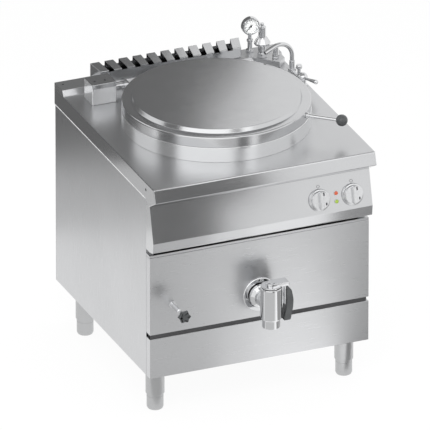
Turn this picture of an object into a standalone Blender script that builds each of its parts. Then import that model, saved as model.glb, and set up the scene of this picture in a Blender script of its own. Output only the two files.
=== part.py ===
"""Steam jacketed kettle: a free-standing catering unit with a hinged round lid.

Lengths are in metres. Everything is modelled in the cabinet's own frame: x is measured
from the middle plane, y backwards from the face of the front panel, z upwards from the
underside of the cabinet. The datum empty then sets that frame over the floor, so that
z = 0 is the floor and the origin is under the middle of the whole unit.
"""

import math

import bmesh
import bpy
from mathutils import Matrix, Vector

# Fits and sheet thicknesses
GAP = 0.0003
SHEET = 0.0015
TOP_SHEET = 0.002
VESSEL_WALL = 0.003

# Cabinet
TOP_WIDTH = 0.800
SIDE_INSET = 0.0035
DEPTH = 0.834
TOP_HEIGHT = 0.715
PLINTH_HEIGHT = 0.145
RECESS_HEIGHT = 0.015
RAIL_HEIGHT = 0.008
RAIL_SETBACK = 0.002
LIP_GAP = 0.0155
PAN_DEPTH = 0.032
PAN_ROUND = 0.0012
FLANGE = 0.025
TRAY_HEIGHT = 0.025

# Worktop
SKIRT_HEIGHT = 0.058
NOSE_REACH = 0.042
NOSE_FACE = 0.044
NOSE_RAKE = 0.015
NOSE_DROP = 0.079
NOSE_ROUND = 0.006
TOP_EDGE_ROUND = 0.0019
TOP_FOLD_ROUND = 0.003
NOSE_CHEEK = 0.034
LEDGE_RISE = 0.021
LEDGE_DEPTH = 0.070
LEDGE_SLOPE = 0.014
LEDGE_ROUND = 0.007
KEYHOLE_RADIUS = 0.005
SKIRT_HOLE_BACK = 0.025
SKIRT_HOLE_DROP = 0.025
LEDGE_HOLE_INSET = 0.020
LEDGE_HOLE_REAR = 0.027

# Control panel, knobs and lamps
CONTROL_HEIGHT = 0.1672
KNUCKLE_REACH = 0.031
KNUCKLE_RISE = 0.043
LIP_REACH = 0.027
LIP_RISE = 0.006
KNUCKLE_ROUND = 0.010
KNOB_DOWN = 0.0783
HEAT_KNOB_INSET = 0.1925
SWITCH_KNOB_INSET = 0.0725
KNOB_SKIRT_RADIUS = 0.034
KNOB_SKIRT_HEIGHT = 0.009
KNOB_CAP_RADIUS = 0.0285
KNOB_HEIGHT = 0.017
KNOB_GRIP_WIDTH = 0.013
KNOB_GRIP_HEIGHT = 0.028
KNOB_SHAFT_RADIUS = 0.004
KNOB_SHAFT_LENGTH = 0.022
LAMP_INSET = 0.1305
ORANGE_LAMP_DOWN = 0.065
GREEN_LAMP_DOWN = 0.0937
LAMP_RADIUS = 0.007
LAMP_PROUD = 0.004

# Legs
LEG_INSET = 0.057
LEG_FRONT_Y = 0.086
LEG_REAR_INSET = 0.128
LEG_SLEEVE_RADIUS = 0.032
LEG_SLEEVE_LENGTH = 0.095
LEG_SLEEVE_WALL = 0.0032
LEG_FOOT_HEIGHT = 0.155
LEG_FOOT_CHAMFER = 0.010
LEG_FOOT_ENGAGED = 0.055
LEG_TOP_PLATE = 0.004

# Kettle, jacket and lid
COLLAR_SIDE_ROOM = 0.081
COLLAR_FRONT_ROOM = 0.0565
COLLAR_REAR_ROOM = 0.0695
COLLAR_HEIGHT = 0.053
COLLAR_WALL = 0.003
COLLAR_ROUND = 0.006
BOWL_INSET = 0.0315
BOWL_CORNER = 0.070
BOWL_FALL = 0.010
OUTLET_RADIUS = 0.021
JACKET_OUTSET = 0.016
JACKET_SPACE = 0.042
JACKET_CORNER = 0.050
LID_INSET = 0.0015
LID_SKIRT = 0.038
LID_ROUND = 0.006
LID_RIM_WIDTH = 0.0295
LID_STEP_WIDTH = 0.007
LID_DISC_RISE = 0.014
LID_SHEET = 0.0025
SEAL_WIDTH = 0.012
SEAL_HEIGHT = 0.011
LID_STEPS = 56
BOWL_STEPS = 40

# Lid handle
HANDLE_ANGLE = math.radians(-41.6)
HANDLE_RISE = 0.074
HANDLE_ROD_RADIUS = 0.006
HANDLE_BALL_RADIUS = 0.020
HANDLE_LENGTH = 0.1255

# Hinge
HINGE_BEHIND_LID = 0.010
HINGE_RISE = 0.032
ARM_INSET = 0.1145
ARM_THICKNESS = 0.005
ARM_END_RADIUS = 0.022
ARM_LOW = 0.0535
ARM_HIGH = 0.062
AXLE_RADIUS = 0.010
BUSH_WALL = 0.004
BUSH_LENGTH = 0.010
BUSH_STEP = 0.002
TOWER_INSET = 0.064
TOWER_WIDTH = 0.087
TOWER_TO_LEDGE = 0.112
TOWER_DEPTH = 0.072
TOWER_HEIGHT = 0.0725
TOWER_COVER = 0.003
TOWER_LIP = 0.013
SCREW_RADIUS = 0.004
SCREW_HEAD = 0.0015
SCREW_SHARES = (0.22, 0.65)
SPRING_WIRE = 0.0018
SPRING_TURNS = 5
BRACKET_GAP = 0.004
BRACKET_THICKNESS = 0.005
BRACKET_FOOT = 0.030
BRACKET_WIDTH = 0.042
BRACKET_END_RADIUS = 0.017

# Flue comb
COMB_SIDE_ROOM = 0.129
COMB_TAPER = 0.030
COMB_DEPTH = 0.058
COMB_HEIGHT = 0.048
COMB_SLOPE = 0.010
COMB_TEETH = 11
COMB_SLOT_SHARE = 0.41
COMB_REAR_NOTCH = 0.017
COMB_FRONT_NOTCH = 0.006
COMB_SHEET = 0.002
COMB_END_MARGIN = 0.002
COMB_ROUND = 0.0018

# Valve platform and its fittings
PLATFORM_NEAR_INSET = (0.038, 0.144)
PLATFORM_SIDE_INSET = 0.007
PLATFORM_WALL = 0.003
PLATFORM_BACK_GAP = 0.0022
GAUGE_INSET = (0.098, 0.026)
GAUGE_RADIUS = 0.0315
GAUGE_CENTRE_RISE = 0.119
GAUGE_FRONT = 0.010
GAUGE_BACK = 0.013
GAUGE_STEM_RADIUS = 0.008
GAUGE_NUT_RADIUS = 0.013
GAUGE_RIM = 0.003
SAFETY_INSET = (0.075, 0.078)
SAFETY_BODY_RADIUS = 0.017
SAFETY_BELL_RADIUS = 0.027
SAFETY_TOP_RADIUS = 0.0125
SAFETY_BELL_LOW = 0.048
SAFETY_BELL_HIGH = 0.070
SAFETY_HEIGHT = 0.105
CAP_RADIUS = 0.0065
CAP_HEIGHT = 0.019
VENT_INSET = (0.036, 0.105)
VENT_RADIUS = 0.0093
VENT_HEIGHT = 0.050

# Water mixer
MIXER_INSET = 0.020
SPOUT_TO_LEDGE = 0.138
MIXER_FRONT_TO_LEDGE = 0.227
MIXER_RISE = 0.027
MIXER_RADIUS = 0.015
MIXER_BALL_RADIUS = 0.0185
MIXER_NUT_RADIUS = 0.0155
MIXER_NUT_HEIGHT = 0.012
SPOUT_RADIUS = 0.0075
SPOUT_BORE = 0.0055
SPOUT_STRAIGHT_TOP = 0.069
SPOUT_BEND = 0.056
SPOUT_REACH = 0.113
SPOUT_HEADING = math.radians(193)
SPOUT_DIP = math.radians(17.5)
LEVER_LENGTH = 0.118
LEVER_RISE = math.radians(16)
LEVER_TIP_RADIUS = 0.0075
LEVER_ROOT_RADIUS = 0.0035
STUB_TO_LEDGE = 0.199
STUB_RADIUS = 0.007
STUB_RISE = 0.047
TAP_KNOB_RADIUS = 0.010
TAP_KNOB_HEIGHT = 0.015

# Drain tap
DRAIN_ABOVE_DOOR_LOW = 0.083
DRAIN_BELOW_BOWL = 0.090
DRAIN_REACH = 0.100
DRAIN_BODY_RADIUS = 0.0366
DRAIN_BODY_DROP = 0.041
DRAIN_BODY_RISE = 0.071
DRAIN_OUTLET_RADIUS = 0.030
DRAIN_OUTLET_DROP = 0.076
DRAIN_BORE = 0.025
DRAIN_BARREL_RADIUS = 0.029
DRAIN_FLANGE_RADIUS = 0.042
DRAIN_FLANGE_DEPTH = 0.020
ESCUTCHEON_RADIUS = 0.061
ESCUTCHEON_DEPTH = 0.006
DRAIN_PIPE_RADIUS = 0.024
DRAIN_PIPE_WALL = 0.003
PLUG_DROP = 0.029
PLUG_PORT_RADIUS = 0.016
ARM_HUB_RADIUS = 0.030
ARM_HUB_HEIGHT = 0.014
DRAIN_ARM_WIDTH = 0.022
DRAIN_ARM_HEIGHT = 0.009
DRAIN_STRIP = 0.004
DRAIN_STRIP_DROP = 0.072
GRIP_DEPTH = 0.030
GRIP_HEIGHT = 0.112
GRIP_TOP_DROP = 0.016
GRIP_ROUND = 0.004
GRIP_SECTIONS = (
    (0.00, 0.0580, 0.0085), (0.15, 0.0605, 0.0105), (0.35, 0.0625, 0.0120),
    (0.60, 0.0605, 0.0125), (0.80, 0.0560, 0.0125), (1.00, 0.0515, 0.0125),
)  # share of the height from the top, distance of the middle from the axis, half width

# Level tap
LEVEL_INSET = 0.082
LEVEL_ABOVE_DRAIN = 0.023
LEVEL_REACH = 0.111
LEVEL_ROD_RADIUS = 0.008
LEVEL_NUT_RADIUS = 0.013
LEVEL_NUT_LENGTH = 0.012
STAR_RADIUS = 0.022
STAR_DEPTH = 0.016
STAR_LOBES = 6
STAR_LOBE_DEPTH = 0.0035

# Heating element and pipes in the cabinet
ELEMENT_RING_INSET = 0.1175
ELEMENT_TUBE_RADIUS = 0.005
ELEMENT_LEG_SPREAD = 0.022
ELEMENT_FLANGE_RADIUS = 0.032
ELEMENT_FLANGE_HEIGHT = 0.008
ELEMENT_HEADING = math.radians(45)
STEAM_PIPE_RADIUS = 0.010
STEAM_PIPE_WALL = 0.0015
STEAM_PIPE_INSET = (0.051, 0.101)
STEAM_TAKE_OFF_DROP = 0.110

# Places worked out from the sizes above
HALF_TOP = TOP_WIDTH / 2
HALF_BODY = HALF_TOP - SIDE_INSET
SIDE_REAR = DEPTH - TOP_SHEET - GAP
DRAIN_FRONT = DRAIN_REACH + DRAIN_BODY_RADIUS
FRONT_Y = -(DEPTH - DRAIN_FRONT) / 2
TOP_UNDERSIDE = TOP_HEIGHT - TOP_SHEET
SKIRT_LOW = TOP_HEIGHT - SKIRT_HEIGHT
LEDGE_TOP = TOP_HEIGHT + LEDGE_RISE
LEDGE_FRONT_Y = DEPTH - LEDGE_DEPTH
DOOR_LOW = PLINTH_HEIGHT + RECESS_HEIGHT
CONTROL_HIGH = TOP_HEIGHT - NOSE_DROP
CONTROL_LOW = CONTROL_HIGH - CONTROL_HEIGHT
DOOR_HIGH = CONTROL_LOW - LIP_GAP - RAIL_HEIGHT - GAP
KNUCKLE_Z = CONTROL_LOW + KNUCKLE_RISE
HEAT_KNOB_X = HALF_TOP - HEAT_KNOB_INSET
SWITCH_KNOB_X = HALF_TOP - SWITCH_KNOB_INSET
LAMP_X = HALF_TOP - LAMP_INSET
LEG_X = HALF_TOP - LEG_INSET
LEG_REAR_Y = DEPTH - LEG_REAR_INSET
DRAIN_Z = DOOR_LOW + DRAIN_ABOVE_DOOR_LOW
DRAIN_BODY_LOW = DRAIN_Z - DRAIN_BODY_DROP
DRAIN_BODY_HIGH = DRAIN_Z + DRAIN_BODY_RISE
DRAIN_OUTLET_LOW = DRAIN_Z - DRAIN_OUTLET_DROP
PLUG_LOW = DRAIN_Z - PLUG_DROP
LEVEL_X = -(HALF_TOP - LEVEL_INSET)
LEVEL_Z = DRAIN_Z + LEVEL_ABOVE_DRAIN

# The kettle is the largest one that leaves room beside it and between the nose and the ledge
ROOM_ACROSS = HALF_TOP - COLLAR_SIDE_ROOM
ROOM_ALONG = (LEDGE_FRONT_Y - COLLAR_FRONT_ROOM - COLLAR_REAR_ROOM) / 2
COLLAR_RADIUS = min(ROOM_ACROSS, ROOM_ALONG)
KETTLE_Y = LEDGE_FRONT_Y - COLLAR_REAR_ROOM - COLLAR_RADIUS
BOWL_RADIUS = COLLAR_RADIUS - BOWL_INSET
JACKET_RADIUS = COLLAR_RADIUS + JACKET_OUTSET
LID_RADIUS = COLLAR_RADIUS - LID_INSET
LID_STEP_RADIUS = LID_RADIUS - LID_RIM_WIDTH
LID_DISC_RADIUS = LID_STEP_RADIUS - LID_STEP_WIDTH
HANDLE_REACH = LID_RADIUS + HANDLE_LENGTH
ELEMENT_RING_RADIUS = BOWL_RADIUS - ELEMENT_RING_INSET
COLLAR_TOP = TOP_HEIGHT + COLLAR_HEIGHT
SEAM_Z = COLLAR_TOP + GAP
LID_RIM_Z = SEAM_Z + LID_SKIRT
BOWL_TOP = COLLAR_TOP - COLLAR_WALL - GAP
BOWL_BOTTOM = DRAIN_Z + DRAIN_BELOW_BOWL
BOWL_OUTER = BOWL_RADIUS + VESSEL_WALL
JACKET_BOTTOM = BOWL_BOTTOM - VESSEL_WALL - JACKET_SPACE
JACKET_TOP = TOP_UNDERSIDE - GAP
ARM_X = LID_RADIUS - ARM_INSET
TOWER_LOW_X = -(HALF_TOP - TOWER_INSET)
TOWER_FRONT_Y = LEDGE_FRONT_Y - TOWER_TO_LEDGE
COMB_REAR_WIDTH = TOP_WIDTH - 2 * COMB_SIDE_ROOM
COMB_FRONT_WIDTH = COMB_REAR_WIDTH - COMB_TAPER
HINGE_Y = KETTLE_Y + LID_RADIUS + HINGE_BEHIND_LID
HINGE_Z = TOP_HEIGHT + HINGE_RISE
TOWER_HIGH_X = TOWER_LOW_X + TOWER_WIDTH
TOWER_TOP = TOP_HEIGHT + TOWER_HEIGHT
PLATFORM_TOP = LEDGE_TOP
FITTING_Z = PLATFORM_TOP + GAP
MIXER_Z = TOP_HEIGHT + MIXER_RISE
MIXER_X = HALF_TOP - MIXER_INSET
SPOUT_Y = LEDGE_FRONT_Y - SPOUT_TO_LEDGE
MIXER_FRONT_Y = LEDGE_FRONT_Y - MIXER_FRONT_TO_LEDGE
STUB_Y = LEDGE_FRONT_Y - STUB_TO_LEDGE
PLATFORM_SIDE_LIMIT = HALF_TOP - PLATFORM_SIDE_INSET


def from_corner(inset):
    """A place on the worktop, by its distances from the right side and from the rear."""
    return (HALF_TOP - inset[0], DEPTH - inset[1])


PLATFORM_NEAR = from_corner(PLATFORM_NEAR_INSET)
GAUGE_XY = from_corner(GAUGE_INSET)
SAFETY_XY = from_corner(SAFETY_INSET)
VENT_XY = from_corner(VENT_INSET)
STEAM_PIPE_XY = from_corner(STEAM_PIPE_INSET)

STEEL = ((0.66, 0.67, 0.68), 0.32, 1.0)
MIRROR_STEEL = ((0.72, 0.73, 0.74), 0.20, 1.0)
CHROME = ((0.80, 0.81, 0.82), 0.10, 1.0)
DARK_STEEL = ((0.16, 0.16, 0.17), 0.55, 0.6)
BLACK_PLASTIC = ((0.02, 0.02, 0.022), 0.38, 0.0)
RUBBER = ((0.05, 0.05, 0.055), 0.75, 0.0)
BRONZE = ((0.55, 0.38, 0.20), 0.45, 1.0)
WHITE_ENAMEL = ((0.85, 0.85, 0.83), 0.45, 0.0)
ORANGE_LENS = ((0.95, 0.35, 0.05), 0.25, 0.0)
GREEN_LENS = ((0.10, 0.75, 0.15), 0.25, 0.0)
CLEAR_GLASS = ((0.90, 0.92, 0.93), 0.05, 0.0)


def clear_scene():
    """Remove every object, so that the model starts from nothing."""
    for item in list(bpy.data.objects):
        bpy.data.objects.remove(item, do_unlink=True)


def make_collection(name):
    collection = bpy.data.collections.new(name)
    bpy.context.scene.collection.children.link(collection)
    return collection


clear_scene()
PARTS = make_collection("steam_jacketed_kettle")
CUTTERS = make_collection("cutters")

DATUM = bpy.data.objects.new("cabinet_datum", None)
DATUM.location = (0.0, FRONT_Y, LEG_FOOT_HEIGHT)
PARTS.objects.link(DATUM)


def finish_material(name, finish):
    """A Principled material for one part, from its colour, roughness and metallic value."""
    colour, roughness, metallic = finish
    material = bpy.data.materials.new(name + "_finish")
    material.use_nodes = True
    shader = material.node_tree.nodes["Principled BSDF"]
    shader.inputs["Base Color"].default_value = (*colour, 1.0)
    shader.inputs["Roughness"].default_value = roughness
    shader.inputs["Metallic"].default_value = metallic
    return material


def place(item, name, finish):
    """File an object as a part under its own name, or as a cutter when it has no finish."""
    item.name = name
    item.data.name = name
    for collection in list(item.users_collection):
        collection.objects.unlink(item)
    if finish is None:
        CUTTERS.objects.link(item)
        item.hide_render = True
        item.display_type = "WIRE"
    else:
        PARTS.objects.link(item)
        item.data.materials.clear()
        item.data.materials.append(finish_material(name, finish))
    item.parent = DATUM
    return item


def from_bmesh(bm, name, finish):
    mesh = bpy.data.meshes.new(name)
    bm.to_mesh(mesh)
    bm.free()
    return place(bpy.data.objects.new(name, mesh), name, finish)


def box(name, low, high, finish=None):
    """A rectangular block between two corners."""
    bm = bmesh.new()
    size = [b - a for a, b in zip(low, high)]
    middle = [(a + b) / 2 for a, b in zip(low, high)]
    matrix = Matrix.Translation(middle) @ Matrix.Diagonal((*size, 1.0))
    bmesh.ops.create_cube(bm, size=1.0, matrix=matrix)
    return from_bmesh(bm, name, finish)


def rod(name, start, end, radius, finish=None, end_radius=None, sides=24):
    """A round bar or cone from one point to another."""
    start, end = Vector(start), Vector(end)
    along = end - start
    turn = Vector((0, 0, 1)).rotation_difference(along.normalized()).to_matrix().to_4x4()
    bm = bmesh.new()
    bmesh.ops.create_cone(
        bm, cap_ends=True, segments=sides, radius1=radius,
        radius2=radius if end_radius is None else end_radius,
        depth=along.length, matrix=Matrix.Translation((start + end) / 2) @ turn,
    )
    piece = from_bmesh(bm, name, finish)
    smooth(piece)
    return piece


def smooth(piece, angle=35):
    """Shade a round piece smooth, with its real corners kept sharp."""
    piece.data.shade_smooth()
    piece.data.set_sharp_from_angle(angle=math.radians(angle))


def prism(name, outline, axis, start, end, finish=None):
    """A flat outline pushed straight along x, y or z."""
    bm = bmesh.new()
    if axis == "x":
        corners = [Vector((start, a, b)) for a, b in outline]
        push = Vector((end - start, 0, 0))
    elif axis == "y":
        corners = [Vector((a, start, b)) for a, b in outline]
        push = Vector((0, end - start, 0))
    else:
        corners = [Vector((a, b, start)) for a, b in outline]
        push = Vector((0, 0, end - start))
    face = bm.faces.new([bm.verts.new(corner) for corner in corners])
    pushed = bmesh.ops.extrude_face_region(bm, geom=[face], use_keep_orig=True)
    moved = [part for part in pushed["geom"] if isinstance(part, bmesh.types.BMVert)]
    bmesh.ops.translate(bm, verts=moved, vec=push)
    bmesh.ops.recalc_face_normals(bm, faces=bm.faces)
    return from_bmesh(bm, name, finish)


def arc(centre, radius, first, last, count):
    """Points along an arc, with both ends, by angle in degrees."""
    points = []
    for step in range(count + 1):
        angle = math.radians(first + (last - first) * step / count)
        points.append((centre[0] + radius * math.cos(angle),
                       centre[1] + radius * math.sin(angle)))
    return points


def rounded(outline, radii, count=4):
    """The outline with each corner that has a radius replaced by an arc that touches both sides."""
    points = []
    total = len(outline)
    for index, corner in enumerate(outline):
        radius = radii.get(index, 0.0)
        here = Vector(corner)
        if radius <= 0.0:
            points.append(tuple(here))
            continue
        back = (Vector(outline[index - 1]) - here).normalized()
        ahead = (Vector(outline[(index + 1) % total]) - here).normalized()
        half = back.angle(ahead) / 2
        reach = radius / math.tan(half)
        centre = here + (back + ahead).normalized() * (radius / math.sin(half))
        first = here + back * reach - centre
        last = here + ahead * reach - centre
        sweep = first.angle_signed(last)
        for step in range(count + 1):
            turn = Matrix.Rotation(-sweep * step / count, 2)
            points.append(tuple(centre + turn @ first))
    return points


def turned(name, profile, finish=None, steps=48, centre=(0.0, 0.0, 0.0), axis=None, closed=True):
    """A profile of (radius, height) turned about z, then laid along another axis if one is given."""
    bm = bmesh.new()
    points = [bm.verts.new((radius, 0.0, height)) for radius, height in profile]
    for first, second in zip(points, points[1:]):
        bm.edges.new((first, second))
    if closed:
        bm.edges.new((points[-1], points[0]))
    piece = from_bmesh(bm, name, finish)
    piece.location = centre
    if axis is not None:
        piece.rotation_mode = "QUATERNION"
        piece.rotation_quaternion = Vector((0, 0, 1)).rotation_difference(Vector(axis))
    screw = piece.modifiers.new("turn", "SCREW")
    screw.axis = "Z"
    screw.angle = math.tau
    screw.steps = steps
    screw.render_steps = steps
    screw.use_merge_vertices = True
    screw.merge_threshold = 0.00001
    screw.use_smooth_shade = True
    return piece


def swept(name, points, radius, finish=None, sides=2, radii=None):
    """A round wire or pipe along a line of points, made a closed mesh."""
    curve = bpy.data.curves.new(name, "CURVE")
    curve.dimensions = "3D"
    curve.bevel_depth = radius
    curve.bevel_resolution = sides
    curve.use_fill_caps = True
    spline = curve.splines.new("POLY")
    spline.points.add(len(points) - 1)
    for index, point in enumerate(points):
        spline.points[index].co = (*point, 1.0)
        if radii is not None:
            spline.points[index].radius = radii[index]
    guide = bpy.data.objects.new(name + "_guide", curve)
    CUTTERS.objects.link(guide)
    evaluated = guide.evaluated_get(bpy.context.evaluated_depsgraph_get())
    mesh = bpy.data.meshes.new_from_object(evaluated)
    bpy.data.objects.remove(guide, do_unlink=True)
    bm = bmesh.new()
    bm.from_mesh(mesh)
    bmesh.ops.remove_doubles(bm, verts=bm.verts, dist=0.00001)
    bmesh.ops.recalc_face_normals(bm, faces=bm.faces)
    bm.to_mesh(mesh)
    bm.free()
    piece = place(bpy.data.objects.new(name, mesh), name, finish)
    smooth(piece, 50)
    return piece


def cut(piece, *cutters):
    """Take each cutter out of the piece."""
    for cutter in cutters:
        modifier = piece.modifiers.new("cut_" + cutter.name, "BOOLEAN")
        modifier.operation = "DIFFERENCE"
        modifier.solver = "EXACT"
        modifier.object = cutter
    return piece


def join(piece, *additions):
    """Weld each addition to the piece as one solid."""
    for addition in additions:
        modifier = piece.modifiers.new("weld_" + addition.name, "BOOLEAN")
        modifier.operation = "UNION"
        modifier.solver = "EXACT"
        modifier.object = addition
    return piece


def round_edges(piece, width, segments=2, angle=40):
    modifier = piece.modifiers.new("round", "BEVEL")
    modifier.width = width
    modifier.segments = segments
    modifier.limit_method = "ANGLE"
    modifier.angle_limit = math.radians(angle)
    return piece


def carry(name, pivot, *pieces):
    """An empty on a joint's axis, which carries the pieces that move on that joint."""
    empty = bpy.data.objects.new(name, None)
    empty.location = pivot
    empty.parent = DATUM
    PARTS.objects.link(empty)
    for piece in pieces:
        piece.parent = empty
        piece.matrix_parent_inverse = Matrix.Translation(-Vector(pivot))
    return empty


def bend(start, corner, end, radius, count):
    """Points along a rounded corner between two straight runs."""
    start, corner, end = Vector(start), Vector(corner), Vector(end)
    back = (start - corner).normalized()
    ahead = (end - corner).normalized()
    half = back.angle(ahead) / 2
    reach = radius / math.tan(half)
    centre = corner + (back + ahead).normalized() * (radius / math.sin(half))
    first = corner + back * reach - centre
    last = corner + ahead * reach - centre
    normal = first.cross(last).normalized()
    sweep = first.angle(last)
    points = []
    for step in range(count + 1):
        turn = Matrix.Rotation(sweep * step / count, 3, normal)
        points.append(centre + turn @ first)
    return points


def pan(name, low, high, open_axis, finish):
    """A folded sheet pan: a box with rounded edges that is open on its far side along one axis."""
    shell = round_edges(box(name, low, high, finish), PAN_ROUND)
    inner_low = [value + SHEET for value in low]
    inner_high = [value - SHEET for value in high]
    axis = "xyz".index(open_axis)
    inner_high[axis] = high[axis] + SHEET
    return cut(shell, box(name + "_inside", inner_low, inner_high))


def side_panel(name, side):
    """A cabinet side: a skin with its front, rear and top edges folded inwards."""
    outer = side * HALF_BODY
    inner = side * (HALF_BODY - FLANGE)
    front = PAN_DEPTH + GAP
    rear = SIDE_REAR
    top = TOP_UNDERSIDE - GAP
    low = (min(outer, inner), front, 0.0)
    high = (max(outer, inner), rear, top)
    skin = box(name, low, high, STEEL)
    beyond = side * (HALF_BODY - FLANGE - SHEET)
    face = side * (HALF_BODY - SHEET)
    hollow = box(
        name + "_inside",
        (min(face, beyond), front + SHEET, -SHEET),
        (max(face, beyond), rear - SHEET, top - SHEET),
    )
    return cut(skin, hollow)


def front_panels():
    """Plinth, front panel and the rail over it, all ahead of the side panels."""
    pan("plinth_panel", (-HALF_BODY, 0.0, 0.0), (HALF_BODY, PAN_DEPTH, PLINTH_HEIGHT), "y", STEEL)
    door = pan("front_panel", (-HALF_BODY, 0.0, DOOR_LOW), (HALF_BODY, PAN_DEPTH, DOOR_HIGH), "y",
               STEEL)
    pipe_hole = rod("front_pipe_hole", (0, -0.01, DRAIN_Z), (0, SHEET * 3, DRAIN_Z),
                    DRAIN_PIPE_RADIUS + 2 * GAP, sides=32)
    level_hole = rod("front_level_hole", (LEVEL_X, -0.01, LEVEL_Z), (LEVEL_X, SHEET * 3, LEVEL_Z),
                     LEVEL_ROD_RADIUS + GAP, sides=20)
    cut(door, pipe_hole, level_hole)
    box("cross_rail",
        (-HALF_BODY, RAIL_SETBACK, DOOR_HIGH + GAP),
        (HALF_BODY, PAN_DEPTH, DOOR_HIGH + GAP + RAIL_HEIGHT), STEEL)


def panel_point(x, down, proud=0.0):
    """A point on the sloping control face, measured down from its top edge and out of the face."""
    top = Vector((x, 0.0, CONTROL_HIGH))
    knuckle = Vector((x, -KNUCKLE_REACH, KNUCKLE_Z))
    along = (knuckle - top).normalized()
    outward = Vector((0.0, along.z, -along.y))
    return top + along * down + outward * proud


def panel_normal():
    return (panel_point(0.0, 0.0, 1.0) - panel_point(0.0, 0.0)).normalized()


def control_panel():
    """The sloping control box under the nose, with closed ends and an open back."""
    outline = rounded(
        [
            (0.0, CONTROL_HIGH),
            (-KNUCKLE_REACH, KNUCKLE_Z),
            (-LIP_REACH, CONTROL_LOW + LIP_RISE),
            (0.0, CONTROL_LOW),
            (PAN_DEPTH, CONTROL_LOW),
            (PAN_DEPTH, CONTROL_HIGH),
        ],
        {1: KNUCKLE_ROUND, 2: KNUCKLE_ROUND / 2},
    )
    panel = prism("control_panel", outline, "x", -HALF_BODY, HALF_BODY, STEEL)
    hollow_outline = [
        (SHEET, CONTROL_HIGH - SHEET),
        (-KNUCKLE_REACH + SHEET * 1.6, KNUCKLE_Z),
        (-LIP_REACH + SHEET * 1.6, CONTROL_LOW + LIP_RISE + SHEET / 2),
        (SHEET / 2, CONTROL_LOW + SHEET),
        (PAN_DEPTH + SHEET, CONTROL_LOW + SHEET),
        (PAN_DEPTH + SHEET, CONTROL_HIGH - SHEET),
    ]
    hollow = prism("control_inside", hollow_outline, "x", -HALF_BODY + SHEET, HALF_BODY - SHEET)
    holes = []
    for name, x, down, radius in (
        ("heat_shaft_hole", HEAT_KNOB_X, KNOB_DOWN, KNOB_SHAFT_RADIUS + GAP),
        ("switch_shaft_hole", SWITCH_KNOB_X, KNOB_DOWN, KNOB_SHAFT_RADIUS + GAP),
        ("orange_lamp_hole", LAMP_X, ORANGE_LAMP_DOWN, LAMP_RADIUS * 0.8 + GAP),
        ("green_lamp_hole", LAMP_X, GREEN_LAMP_DOWN, LAMP_RADIUS * 0.8 + GAP),
    ):
        holes.append(rod(name, panel_point(x, down, -0.010), panel_point(x, down, 0.010), radius))
    cut(panel, hollow, *holes)


def knob(name, x):
    """A skirted knob with an upright grip bar across its face and its shaft behind."""
    base = panel_point(x, KNOB_DOWN, GAP)
    skirt_top = KNOB_SKIRT_HEIGHT
    profile = [
        (0.0, KNOB_HEIGHT),
        (KNOB_CAP_RADIUS - 0.003, KNOB_HEIGHT),
        (KNOB_CAP_RADIUS - 0.0008, KNOB_HEIGHT - 0.0012),
        (KNOB_CAP_RADIUS, skirt_top),
        (KNOB_SKIRT_RADIUS - 0.0015, skirt_top - 0.0015),
        (KNOB_SKIRT_RADIUS, 0.0015),
        (KNOB_SKIRT_RADIUS - 0.001, 0.0),
        (KNOB_SHAFT_RADIUS, 0.0),
        (KNOB_SHAFT_RADIUS, -KNOB_SHAFT_LENGTH),
        (0.0, -KNOB_SHAFT_LENGTH),
    ]
    body = turned(name, profile, CHROME, 28, base, panel_normal(), closed=False)
    grip_outline = rounded(
        [
            (-KNOB_GRIP_WIDTH / 2, -KNOB_CAP_RADIUS + 0.0015),
            (KNOB_GRIP_WIDTH / 2, -KNOB_CAP_RADIUS + 0.0015),
            (KNOB_GRIP_WIDTH / 2, KNOB_CAP_RADIUS - 0.0015),
            (-KNOB_GRIP_WIDTH / 2, KNOB_CAP_RADIUS - 0.0015),
        ],
        {index: KNOB_GRIP_WIDTH * 0.42 for index in range(4)}, 2,
    )
    grip = prism(name + "_grip", grip_outline, "z", KNOB_HEIGHT - 0.004, KNOB_GRIP_HEIGHT)
    round_edges(grip, 0.0015, 1)
    grip.location = base
    grip.rotation_mode = "QUATERNION"
    grip.rotation_quaternion = body.rotation_quaternion
    join(body, grip)
    carry(name + "_axis", base, body)


def lamp(name, down, finish):
    """A domed pilot lamp pressed into the control face."""
    profile = [(0.0, LAMP_PROUD)]
    for step in range(1, 4):
        share = step / 3
        profile.append((LAMP_RADIUS * math.sin(share * math.pi / 2),
                        LAMP_PROUD * (0.35 + 0.65 * math.cos(share * math.pi / 2))))
    profile += [
        (LAMP_RADIUS, 0.0),
        (LAMP_RADIUS * 0.8, 0.0),
        (LAMP_RADIUS * 0.8, -0.012),
        (0.0, -0.012),
    ]
    turned(name, profile, finish, 16, panel_point(LAMP_X, down, GAP), panel_normal(), closed=False)


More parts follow.
